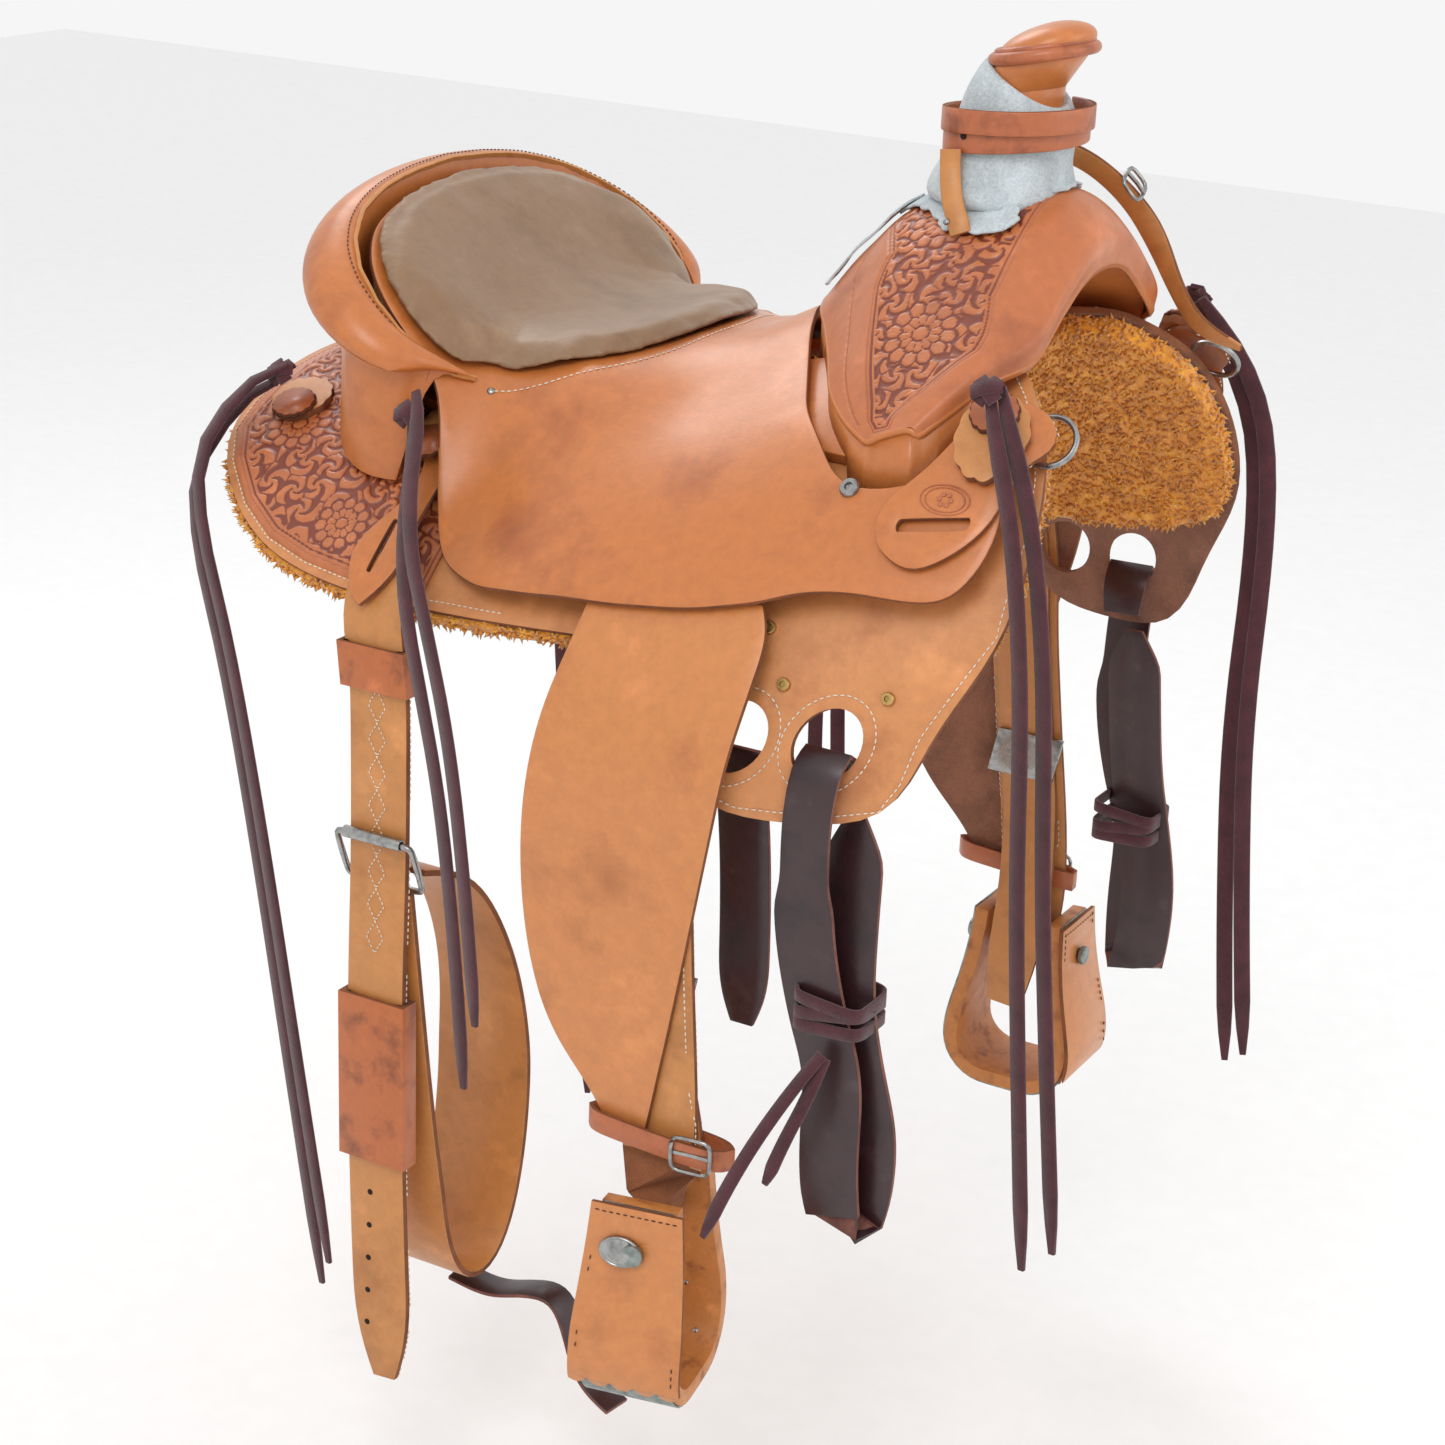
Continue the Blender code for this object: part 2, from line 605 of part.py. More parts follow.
def make_horn():
    """Suede wrap, cap and strap. Each sleeve stands off the one under it by the common gap."""
    suede = (0.55, 0.62, 0.64, 1)
    outer = horn_rings([(0.2105, 0.053, 0.050, 0.05), (0.2155, 0.048, 0.046, 0.05),
        (0.221, 0.0440, 0.0430, 0.05),
                        (0.256, 0.0415, 0.0415, 0.10), (0.266, 0.0405, 0.0405, 0.20),
                        (0.274, 0.0395, 0.0395, 0.26)])
    inner = horn_rings([(0.2085, 0.0365, 0.0365, 0.05), (0.214, 0.0340, 0.0340, 0.05),
        (0.228, 0.0335, 0.0335, 0.05),
                        (0.256, 0.0335, 0.0335, 0.10), (0.265, 0.0345, 0.0345, 0.20),
                        (0.273, 0.0355, 0.0355, 0.26)])
    shell_of_rings("horn_wrap", outer, inner, (suede, 0.95))
    lean = -0.20
    cap = [(0.2705, 0.0290), (0.2820, 0.0315), (0.2905, 0.0345), (0.2935, 0.0375), (0.2985, 0.0390),
        (0.3035, 0.0370),
           (0.3055, 0.0335), (0.3115, 0.0270), (0.3160, 0.0170), (0.3180, 0.0060)]
    rings = [ring_at((0.2185 + (z - 0.268) * 0.42, z), lean, r, r * 0.97, 20) for z, r in cap]
    loft("horn_cap", rings, (RUSSET, 0.35))
    turns = []
    for k in range(33):
        t = 2 * math.pi * k / 16
        z = 0.2335 + 0.0175 * min(max((k - 4) / 20, 0), 1)
        r = 0.0492 + 0.0048 * min(max((k - 8) / 12, 0), 1)
        r -= 0.0015 * min(max((k - 20) / 12, 0), 1)
        x = float(np.interp(z, [p[1] for p in HORN_AXIS], [p[0] for p in HORN_AXIS]))
        turns.append((x + r * math.cos(t + 1.2), r * math.sin(t + 1.2), z + 0.003 * math.cos(t + 1.2)))
    strap("horn_strap", turns, (0.0, 0.0, 1.0), 0.0170, 0.0034, (RUSSET, 0.4))


# ---- side pieces on the jockeys and skirts ----
def scallops(x, y, r, teeth, count=5):
    """A round outline with a scalloped edge."""
    made = []
    for i in range(teeth * count):
        t = 2 * math.pi * i / (teeth * count)
        ripple = abs(math.sin(math.pi * i / count))
        made.append((x + r * (0.93 + 0.07 * ripple) * math.cos(t),
            y + r * (0.93 + 0.07 * ripple) * math.sin(t)))
    return made


CARRIER_EDGE = [
    (0.272, 0.162), (0.286, 0.148), (0.304, 0.141), (0.326, 0.146), (0.331, 0.158), (0.326, 0.169),
        (0.314, 0.176),
    (0.312, 0.205), (0.300, 0.219), (0.285, 0.228), (0.266, 0.235), (0.248, 0.232), (0.231, 0.224),
    (0.230, 0.209),
    (0.246, 0.198), (0.260, 0.184),
]
TAB_EDGE = [
    (-0.166, 0.150), (-0.154, 0.136), (-0.140, 0.138), (-0.129, 0.150), (-0.126, 0.180), (-0.128, 0.203),
    (-0.126, 0.247), (-0.121, 0.269), (-0.131, 0.291), (-0.144, 0.305), (-0.157, 0.289), (-0.168, 0.267),
    (-0.160, 0.244), (-0.146, 0.222), (-0.146, 0.196), (-0.160, 0.172),
]
TAB_LIFT = 0.0285
ROSETTE = 0.024
ROSETTE_THICK = 0.0065
DEE_AT = (0.3215, 0.184)  # middle of the dee ring over the skirt's front edge
DEE_LIFT = 0.0262


def over_seat(side, lift):
    """A point on top of the seat leather."""
    surface = on_seat(lift)
    return lambda x, y: surface(x, side * y)


def slot(x, y, length, width, turn):
    """A long rounded hole, its length turned from the first axis."""
    made = []
    for i in range(12):
        t = 2 * math.pi * i / 12
        u = math.cos(t) * width / 2 + (1 if math.cos(t) > 0 else -1) * (length - width) / 2
        v = math.sin(t) * width / 2
        made.append((x + u * math.cos(turn) - v * math.sin(turn),
            y + u * math.sin(turn) + v * math.cos(turn)))
    return made


def bed_axes(x, s, side):
    """Directions over the back: forward, round and down, and outward."""
    here = np.array(bed(x, s, 0.0, side))
    down = np.array(bed(x, s + 0.001, 0.0, side)) - here
    out = np.array(bed(x, s, 0.001, side)) - here
    return np.array([1.0, 0.0, 0.0]), down / np.linalg.norm(down), out / np.linalg.norm(out)


def make_trim(side, word):
    """Carrier plates with their slots, rosettes and the dee ring."""
    low, high = 2 * GAP, 2 * GAP + CARRIER
    plate = resample(round_off(CARRIER_EDGE), 0.0125)
    hole = slot(0.272, 0.214, 0.050, 0.006, -0.15)
    sheet("front_carrier_" + word, over_seat(side, low), over_seat(side, high), plate, (TAN, 0.5), [hole],
        (0.03, 0.022))
    disc = scallops(0.291, 0.170, ROSETTE, 12)
    low = high + GAP
    look = ((0.50, 0.17, 0.08, 1), 0.5)
    sheet("front_rosette_" + word, over_seat(side, low), over_seat(side, low + ROSETTE_THICK), disc, look,
        (), (0.02, 0.02))
    tab = resample(round_off(TAB_EDGE), 0.0125)
    hole = slot(-0.1445, 0.258, 0.042, 0.005, math.pi / 2)
    low, high = TAB_LIFT, TAB_LIFT + CARRIER
    sheet("rear_carrier_" + word, on_bed(side, low), on_bed(side, high), tab, (TAN, 0.5), [hole],
        (0.03, 0.022))
    disc = scallops(-0.148, 0.152, ROSETTE, 12)
    low = high + GAP
    sheet("jockey_rosette_" + word, on_bed(side, low), on_bed(side, low + ROSETTE_THICK), disc, look, (),
        (0.02, 0.02))
    disc = scallops(-0.298, 0.142, ROSETTE, 12)
    low = SKIRT_TOP + GAP
    sheet("cantle_rosette_" + word, on_bed(side, low), on_bed(side, low + ROSETTE_THICK), disc, look, (),
        (0.02, 0.02))
    ahead, down, out = bed_axes(*DEE_AT, side)
    middle = np.array(bed(*DEE_AT, DEE_LIFT, side))
    turns = [2 * math.pi * i / 24 for i in range(24)]
    ring = [middle + DEE_R * (math.cos(t) * ahead + math.sin(t) * down) for t in turns]
    tube("dee_ring_" + word, ring, DEE_WIRE, ((0.6, 0.6, 0.58, 1), 0.25, 1.0), 6, True)


# ---- fenders, stirrup leathers and stirrups ----
HANG = [(-0.020, 0.2200), (-0.035, 0.2345), (-0.050, 0.2475), (-0.070, 0.2635), (-0.090, 0.2785),
    (-0.110, 0.2890),
        (-0.130, 0.2975), (-0.150, 0.3030), (-0.170, 0.3050), (-0.330, 0.3055), (-0.480, 0.3040),
        (-0.600, 0.3040)]
FENDER_EDGE = [
    (0.040, -0.054), (0.039, -0.089), (0.027, -0.136), (0.014, -0.206), (0.013, -0.259), (0.019, -0.312),
    (0.033, -0.363), (0.055, -0.397), (0.081, -0.421), (0.090, -0.440), (0.096, -0.454), (0.110, -0.458),
    (0.121, -0.454), (0.127, -0.415), (0.137, -0.365), (0.147, -0.309), (0.156, -0.254), (0.169, -0.177),
    (0.180, -0.103), (0.180, -0.060), (0.176, -0.054),
]
STIRRUP_X = 0.150
RIGHT_BACK = 0.018  # how far behind the left bolt the right one hangs
LEFT_DRIFT = 0.022
STIRRUP_Y = 0.301
LEATHER_LINE = [(0.114, -0.045), (0.116, -0.12), (0.121, -0.22), (0.134, -0.32), (0.146, -0.40),
    (STIRRUP_X, -0.44)]


def hang_at(z, inset):
    """Distance from the middle of the saddle to a surface set in from the fender's inner face."""
    heights = [p[0] for p in HANG][::-1]
    widths = [p[1] for p in HANG][::-1]
    y = float(np.interp(z, heights, widths))
    slope = (float(np.interp(z + 0.004, heights, widths)) - float(np.interp(z - 0.004, heights,
        widths))) / 0.008
    size = math.hypot(1.0, slope)
    return y - inset / size, z + inset * slope / size


def on_hang(side, lift, drift=0.0):
    """Points on a hanging leather. Drift moves the middle of its height to the rear."""
    def at(x, z):
        y, height = hang_at(z, -lift)
        back = drift * float(np.interp(z, [-0.42, -0.25, -0.06], [0.0, 1.0, 0.0]))
        return (x - back, side * y, height)
    return at


def leg(inset, low, high, count, lean):
    """Points down a hanging leather from high to low, set in from the fender."""
    made = []
    for z in np.linspace(high, low, count):
        y, height = hang_at(z, inset)
        x = float(np.interp(-z, [-p[1] for p in lean], [p[0] for p in lean]))
        made.append((x, y, height))
    return made


def make_fender(side, word, turned):
    """A fender, its stirrup leather and what is sewn or riveted to them."""
    edge = resample(round_off(FENDER_EDGE), 0.026)
    back = LEFT_DRIFT if side > 0 else 0.0
    sheet("fender_" + word, on_hang(side, 0.0, back), on_hang(side, FENDER_THICK, back), edge, (TAN, 0.45),
        (),
          (0.05, 0.03))
    half = LEATHER / 2
    outer = half + GAP
    inner = outer + LEATHER + GAP
    bolt_x = STIRRUP_X - (RIGHT_BACK if turned else 0.0)
    start = LEATHER_LINE[0][0]
    lean = [(start + (x - start) * (bolt_x - start) / (STIRRUP_X - start), z) for x, z in LEATHER_LINE]
    tail_line = lean[:-1] + [(0.154, -0.47), (0.146, -0.56)]
    up = leg(inner, -0.462 if turned else -0.560, -0.050, 15, tail_line)[::-1]
    if not turned:
        up = [(x, y - 0.030 * min(max((-z - 0.385) / 0.12, 0.0), 1.0), z) for x, y, z in up]
    down = leg(outer, -0.456, -0.050, 12, lean)
    top_in, top_out = np.array(up[-1]), np.array(down[0])
    middle = (top_in + top_out) / 2
    arm = top_out - middle
    rise = np.cross(arm, [1.0, 0, 0])
    rise = rise if rise[2] > 0 else -rise
    bend = [tuple(middle - arm * math.cos(t) + rise * math.sin(t)) for t in np.linspace(0, math.pi,
        7)[1:-1]]
    path = up + bend + down
    across = [(1.0, 0, 0)] * len(path)
    width = [0.030, 0.044] + [0.048] * (len(up) - 2) + [0.052] * 5 + [LEATHER_WIDTH] * len(down)
    loop = BOLT_R + 0.0008 + half
    if turned:
        side_way = (math.cos(STIRRUP_YAW), -math.sin(STIRRUP_YAW))
        path += [(bolt_x + 0.004, 0.3010, STIRRUP_Z + 0.034),
                 (bolt_x + side_way[0] * loop, STIRRUP_Y + side_way[1] * loop, STIRRUP_Z + 0.020)]
        across += [(0.70, -0.70, 0.0), (0.10, -1.0, 0.0)]
    else:
        side_way = (0.0, 1.0)
        path += [(bolt_x, 0.3035, STIRRUP_Z + 0.034), (bolt_x, STIRRUP_Y + loop, STIRRUP_Z + 0.018)]
        across += [(1.0, 0, 0), (1.0, 0, 0)]
    width += [0.055, 0.048]
    for t in np.linspace(0, math.pi, 8):
        u, v = loop * math.cos(t), -loop * math.sin(t)
        path.append((bolt_x + side_way[0] * u, STIRRUP_Y + side_way[1] * u, STIRRUP_Z + v))
        across.append((side_way[1], -side_way[0], 0.0))
        width.append(0.046)
    path.append((bolt_x - side_way[0] * loop, STIRRUP_Y - side_way[1] * loop, STIRRUP_Z + 0.020))
    across.append((side_way[1], -side_way[0], 0.0))
    width.append(0.046)
    path = np.array(path) * (1, side, 1)
    across = np.array(across) * (1, side, 1)
    strap("stirrup_leather_" + word, path, across, width, LEATHER, (TAN, 0.5))
    x = bolt_x - 0.014
    plate = [(x - 0.034, -0.358), (x + 0.026, -0.358), (x + 0.034, -0.318), (x - 0.026, -0.318)]
    low = on_hang(side, -(inner + half + GAP + 0.0032))
    sheet("leather_buckle_" + word, low, on_hang(side, -(inner + half + GAP)), plate,
        ((0.45, 0.45, 0.43, 1), 0.35, 1.0), (), (0.03, 0.03))
    far = 0.0135 if turned else 0.0080
    band = [(0.076, 0.3040), (0.078, 0.3145), (0.120, 0.3150), (0.160, 0.3140), (0.185, 0.3090),
        (0.190, 0.3000),
            (0.186, 0.3045 - far), (0.150, 0.3040 - far), (0.100, 0.3040 - far), (0.084, 0.3045 - far)]
    band = resample(round_off(band), 0.0095)
    path = [(x, side * y, -0.442 - 0.06 * (x - 0.13)) for x, y in band]
    strap("hobble_strap_" + word, path, (0, 0, 1.0), 0.016, 0.0030, (RUSSET, 0.45), True)


def make_stirrup(side, word, turned):
    """Bent wood frame, metal band, leather cover and the bolt. The opening faces along v."""
    half, foot, neck = STIRRUP_W / 2, STIRRUP_Z - STIRRUP_H, STIRRUP_Z + STIRRUP_NECK
    wood, band, cover = 0.0120, 0.0014, 0.0035
    line = [(-0.034, neck), (-0.036, STIRRUP_Z), (-0.042, STIRRUP_Z - 0.034), (-0.050, STIRRUP_Z - 0.066),
            (-half + 0.006, foot + 0.034), (-half + 0.014, foot + 0.016), (-0.030, foot + wood / 2 + 0.001),
            (0.0, foot + wood / 2)]
    line += [(-u, z) for u, z in line[-2::-1]]
    line = smooth_path([(u, 0.0, z) for u, z in line], 29)
    line[12:17, 2] = foot + wood / 2
    lean = STIRRUP_YAW if turned else -math.pi / 2
    bolt_x = STIRRUP_X - (RIGHT_BACK if turned else 0.0)

    def turn(points):
        made = []
        for u, v, z in points:
            x = v * math.cos(lean) - u * math.sin(lean)
            y = u * math.cos(lean) + v * math.sin(lean)
            made.append((bolt_x + x, side * STIRRUP_Y + y, z))
        return made

    def shifted(offset, start, stop):
        along = np.gradient(line, axis=0)
        out = np.stack([along[:, 2], np.zeros(len(line)), -along[:, 0]], axis=1)
        out /= np.linalg.norm(out, axis=1, keepdims=True)
        return (line + out * offset)[start:stop]

    check = shifted(0.001, 0, 3)
    flip = 1.0 if check[1][0] < line[1][0] else -1.0
    across = (math.cos(lean), math.sin(lean), 0)
    depth = np.interp(np.abs(np.linspace(-1, 1, 29)), [0, 0.5, 1], [STIRRUP_D, STIRRUP_D * 0.97, 0.056])
    frame = strap("stirrup_frame_" + word, turn(shifted(0, 0, 29)), across, depth, wood,
        ((0.50, 0.24, 0.09, 1), 0.5))
    off = flip * (wood / 2 + GAP + band / 2)
    metal = strap("stirrup_band_" + word, turn(shifted(off, 0, 29)), across, depth - 0.004, band,
        ((0.5, 0.53, 0.5, 1), 0.4, 1.0))
    off = flip * (wood / 2 + GAP + band + GAP + cover / 2)
    outward = (side > 0) if turned else True
    start, stop = (17, 29) if outward else (0, 12)
    patch = shifted(off, start, stop)
    sizes = depth[start:stop] + 0.012
    sheath = strap("stirrup_cover_" + word, turn(patch), across, sizes, cover, (TAN, 0.45))
    reach = 0.034 + wood / 2 + band + cover + 0.004
    for target in (frame, metal, sheath):
        bore = tube("bore", turn([(-0.08, 0, STIRRUP_Z), (0.08, 0, STIRRUP_Z)]), BOLT_R + GAP, (TAN, 0.5),
            12)
        boolean(target, bore, "DIFFERENCE")
    ends = [(-reach - 0.006, 0), (-reach - 0.0015, 0), (-reach - 0.0014, 0), (reach + 0.0014, 0),
        (reach + 0.0015, 0), (reach + 0.006, 0)]
    radii = [0.0085, 0.0085, BOLT_R, BOLT_R, 0.0085, 0.0085]
    tube("stirrup_bolt_" + word, turn([(u, v, STIRRUP_Z) for u, v in ends]), radii,
        ((0.6, 0.6, 0.58, 1), 0.3, 1.0), 12)


# ---- latigos, flank set and rope strap ----
LATIGO_LINE = [
    (0.230, 0.2460, -0.178), (0.229, 0.2475, -0.158), (0.2285, 0.2540, -0.1450), (0.228, 0.2640, -0.1400),
    (0.2275, 0.2745, -0.1440), (0.226, 0.2800, -0.1600), (0.224, 0.2820, -0.186), (0.223, 0.2800, -0.215),
    (0.224, 0.278, -0.27), (0.238, 0.277, -0.33), (0.254, 0.277, -0.37), (0.252, 0.276, -0.44),
    (0.256, 0.272, -0.485),
    (0.262, 0.264, -0.494), (0.270, 0.256, -0.480), (0.274, 0.256, -0.42), (0.262, 0.262, -0.37),
    (0.250, 0.262, -0.32), (0.246, 0.254, -0.26), (0.244, 0.247, -0.21), (0.243, 0.245, -0.19),
]
CINCH_LINE = [
    (0.2755, -0.325), (0.2730, -0.40), (0.2700, -0.48), (0.2650, -0.56), (0.2520, -0.63), (0.2280, -0.668),
    (0.1980, -0.676), (0.1680, -0.652), (0.1480, -0.590), (0.1420, -0.510), (0.1520, -0.430),
    (0.1850, -0.360),
    (0.2200, -0.325), (0.2600, -0.314),
]
FLANK_X = -0.124


def make_latigo(side, word):
    """The tie strap folded through its rigging."""
    path = smooth_path([(x, side * y, z) for x, y, z in LATIGO_LINE], 50)
    width = [0.030, 0.034] + [0.036] * 9 + [LATIGO_W] * 37 + [0.030, 0.014]
    strap("latigo_" + word, path, (1.0, 0, 0), width, LATIGO, (DARK, 0.4))


def make_flank():
    """The hung rear cinch: billet, sleeves, buckle and roller, the cinch and its connector."""
    x = FLANK_X
    lift = SKIRT_TOP + 2 * GAP + BILLET / 2
    line = [bed(x - 0.014, s, lift + 0.0006, -1) for s in (0.262, 0.275, 0.288)]
    line += [(x - 0.010, -0.2835, -0.115), (x - 0.004, -0.2860, -0.135), (x, -0.2865, -0.16),
        (x, -0.2860, -0.23), (x, -0.286, -0.30),
             (x, -0.2900, -0.40), (x + 0.003, -0.2940, -0.50), (x + 0.010, -0.2990, -0.62),
             (x + 0.018, -0.3015, -0.7255)]
    path = smooth_path(line, 30)
    width = [BILLET_W] * 27 + [0.046, 0.036, 0.020]
    strap("flank_billet", path, (1.0, 0, 0), width, BILLET, ((0.55, 0.21, 0.06, 1), 0.5))

    def sleeve(name, top, low, reach):
        rings = []
        for z in (top, low):
            i = int(np.argmin(np.abs(path[:, 2] - z)))
            y = float(np.interp(-z, -path[:, 2], path[:, 1]))
            mid = float(np.interp(-z, -path[:, 2], path[:, 0]))
            w, h = BILLET_W / 2 + 0.0012, BILLET / 2 + 0.0022
            rings.append([[(mid + i * (w + r), y + j * (h + r), z)
                      for i, j in ((-1, -1), (1, -1), (1, 1), (-1, 1))]
                          for r in (reach, 0.0)])
        loft(name, [rings[0][0], rings[1][0], rings[1][1], rings[0][1]], (RUSSET, 0.4), True)

    sleeve("billet_keeper", -0.133, -0.166, 0.0030)
    sleeve("billet_sleeve", -0.408, -0.540, 0.0035)
    y, z = -0.2865, -0.300
    deep = 0.0085
    half_w, half_h = 0.034, 0.021
    frame = [(x - half_w, y + 0.0085, z - half_h), (x + half_w, y + 0.0085, z - half_h),
             (x + half_w, y - deep, z + half_h), (x - half_w, y - deep, z + half_h)]
    wire = []
    for i, p in enumerate(frame):
        q, o = frame[(i + 1) % 4], frame[i - 1]
        p, q, o = np.array(p), np.array(q), np.array(o)
        wire += [tuple(p + (o - p) * 0.12), tuple(p + (o - p) * 0.03 + (q - p) * 0.02),
            tuple(p + (q - p) * 0.09)]
    tube("flank_buckle", wire, 0.0028, ((0.6, 0.6, 0.58, 1), 0.25, 1.0), 8, True)
    roller_r = 0.0028 + 0.0004
    rings = []
    for r, u in ((roller_r + 0.0016, -1), (roller_r + 0.0016, 1), (roller_r, 1), (roller_r, -1)):
        turns = [2 * math.pi * i / 12 for i in range(12)]
        rings.append([(x + u * 0.0255, y - deep + r * math.cos(t),
            z + half_h + r * math.sin(t)) for t in turns])
    loft("flank_roller", rings, ((0.6, 0.6, 0.58, 1), 0.25, 1.0), True)
    loop = smooth_path([(x, -yy, zz) for yy, zz in CINCH_LINE], 40)
    part = np.linspace(0, 1, 40)
    width = np.interp(part, [0, 0.10, 0.3, 0.7, 0.92, 1], [0.044, 0.058, CINCH_W, CINCH_W, 0.060, 0.044])
    strap("flank_cinch", loop, (1.0, 0, 0), width, 0.005, (TAN, 0.5))
    route = [(x + 0.012, -0.197, -0.6845), (x + 0.05, -0.197, -0.690), (-0.045, -0.194, -0.680),
        (-0.018, -0.192, -0.676),
             (-0.006, -0.191, -0.700), (0.004, -0.191, -0.735), (0.020, -0.193, -0.750),
             (0.042, -0.197, -0.757)]
    strap("connector_strap", smooth_path(route, 20), (0.10, 1.0, 0.10), 0.024, 0.0035, (DARK, 0.45))


def make_off_billet():
    """The folded billet on the off side of the girth."""
    path = [(0.163, -0.270, -0.150), (0.163, -0.262, -0.185), (0.163, -0.2535, -0.23),
        (0.163, -0.2480, -0.29),
            (0.163, -0.246, -0.368)]
    path = smooth_path(path, 12)
    width = [0.034] + [0.040] * 9 + [0.034, 0.018]
    strap("off_billet_right", path, (1.0, 0, 0), width, LATIGO, (DARK, 0.4))


def make_rope_strap():
    """The strap round the fork's front at the horn's foot, its tail at the far dee."""
    route = [(0.228, 0.051, 0.222), (0.243, 0.062, 0.215), (0.261, 0.074, 0.200), (0.277, 0.090, 0.178),
             (0.284, 0.112, 0.152), (0.294, 0.124, 0.122), (0.315, 0.122, 0.094), (0.354, 0.114, 0.085)]
    route = smooth_path(route, 20)
    width = [0.018] * 16 + [0.016, 0.013, 0.009, 0.005]
    strap("rope_strap", route, (0.35, -0.45, 0.80), width, 0.0032, (RUSSET, 0.45))


# ---- saddle strings ----
FRONT_STRING = [(0.290, 0.182, 0.098), (0.302, 0.196, 0.074), (0.320, 0.211, 0.040), (0.336, 0.222, -0.010),
                (0.345, 0.217, -0.100), (0.346, 0.202, -0.240), (0.358, 0.199, -0.380),
                (0.373, 0.200, -0.522)]
JOCKEY_STRING = [(-0.150, 0.212, 0.016), (-0.138, 0.228, -0.010), (-0.122, 0.262, -0.050),
    (-0.100, 0.292, -0.095),
                 (-0.082, 0.298, -0.150), (-0.068, 0.290, -0.240), (-0.061, 0.280, -0.357),
                 (-0.054, 0.276, -0.471)]
CANTLE_STRING = [(-0.296, 0.172, 0.016), (-0.318, 0.192, 0.002), (-0.345, 0.222, -0.050),
    (-0.332, 0.236, -0.110),
                 (-0.308, 0.234, -0.200), (-0.288, 0.222, -0.360), (-0.264, 0.212, -0.558),
                 (-0.240, 0.205, -0.735)]


def make_string(name, line, side, spread):
    """Both tails of one thong, joined over the rosette."""
    line = np.array([(x, side * y, z) for x, y, z in line])
    spread = np.array(spread) * (1, side, 1)
    near = smooth_path(line, 14)
    far = smooth_path(line + spread * np.linspace(0.35, 1, len(line))[:, None], 14)
    middle = (near[0] + far[0]) / 2 + np.array([0, side * 0.002, 0.006])
    path = list(near[::-1]) + [middle] + list(far)
    width = [0.004, 0.009] + [STRING_W] * (len(path) - 4) + [0.009, 0.004]
    strap(name, path, (1.0, side * 0.25, 0.0), width, STRING, (BURGUNDY, 0.85))


def make_all():
    """Every piece, left and right."""
    for side, word in ((-1, "right"), (1, "left")):
        make_skirts(side, word)
        make_trim(side, word)
        make_fender(side, word, side < 0)
        make_stirrup(side, word, side < 0)
        make_latigo(side, word)
        make_string("front_string_" + word, FRONT_STRING, side, (0.018, -0.010, 0.014))
        make_string("jockey_string_" + word, JOCKEY_STRING, side, (0.016, 0.010, 0.060))
        make_string("cantle_string_" + word, CANTLE_STRING, side, (0.016, 0.012, 0.030))
    make_seat()
    make_cantle()
    make_fork()
    make_horn()
    make_rope_strap()
    make_off_billet()
    make_flank()


make_all()
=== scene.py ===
"""A western stock saddle: leather, fleece, metal and stitching around its solid parts."""

import json
import math

import bmesh
import bpy
import numpy as np
from mathutils import Matrix, Vector, noise
from mathutils.bvhtree import BVHTree


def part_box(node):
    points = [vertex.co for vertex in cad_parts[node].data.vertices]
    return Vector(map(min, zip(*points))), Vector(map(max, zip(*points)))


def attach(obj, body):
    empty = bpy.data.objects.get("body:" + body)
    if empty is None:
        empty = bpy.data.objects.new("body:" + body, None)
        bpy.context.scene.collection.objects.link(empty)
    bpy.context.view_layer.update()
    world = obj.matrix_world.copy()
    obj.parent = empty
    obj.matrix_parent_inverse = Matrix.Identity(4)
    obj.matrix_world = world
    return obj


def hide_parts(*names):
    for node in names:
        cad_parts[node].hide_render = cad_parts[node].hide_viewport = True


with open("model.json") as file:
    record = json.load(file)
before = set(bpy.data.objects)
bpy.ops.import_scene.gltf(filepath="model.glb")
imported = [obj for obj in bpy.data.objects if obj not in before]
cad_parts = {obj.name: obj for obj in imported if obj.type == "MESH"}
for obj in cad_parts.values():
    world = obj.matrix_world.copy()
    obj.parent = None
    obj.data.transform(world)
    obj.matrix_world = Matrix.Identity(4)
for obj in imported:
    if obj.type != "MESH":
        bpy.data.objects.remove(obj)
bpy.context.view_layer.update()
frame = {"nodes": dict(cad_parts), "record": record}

bl_info = {
    "name": "Western saddle",
    "version": (1, 0, 0),
    "blender": (4, 5, 0),
    "location": "3D View > Sidebar > Saddle",
    "description": "Builds the leather, metal and stitching of a western stock saddle on its solid parts",
    "category": "Object",
}


def linear(code):
    """A linear colour from a hex code."""
    made = []
    for i in (1, 3, 5):
        v = int(code[i:i + 2], 16) / 255
        made.append(v / 12.92 if v <= 0.04045 else ((v + 0.055) / 1.055) ** 2.4)
    return tuple(made)


def colour_prop(name, words, code):
    """A colour that the panel shows."""
    return bpy.props.FloatVectorProperty(name=name, description=words, subtype="COLOR", size=3, min=0, max=1,
                                         default=linear(code))


def length_prop(name, words, value):
    """A length that the panel shows, in metres."""
    return bpy.props.FloatProperty(name=name, description=words, subtype="DISTANCE", unit="LENGTH", min=0,
                                   default=value, precision=5)


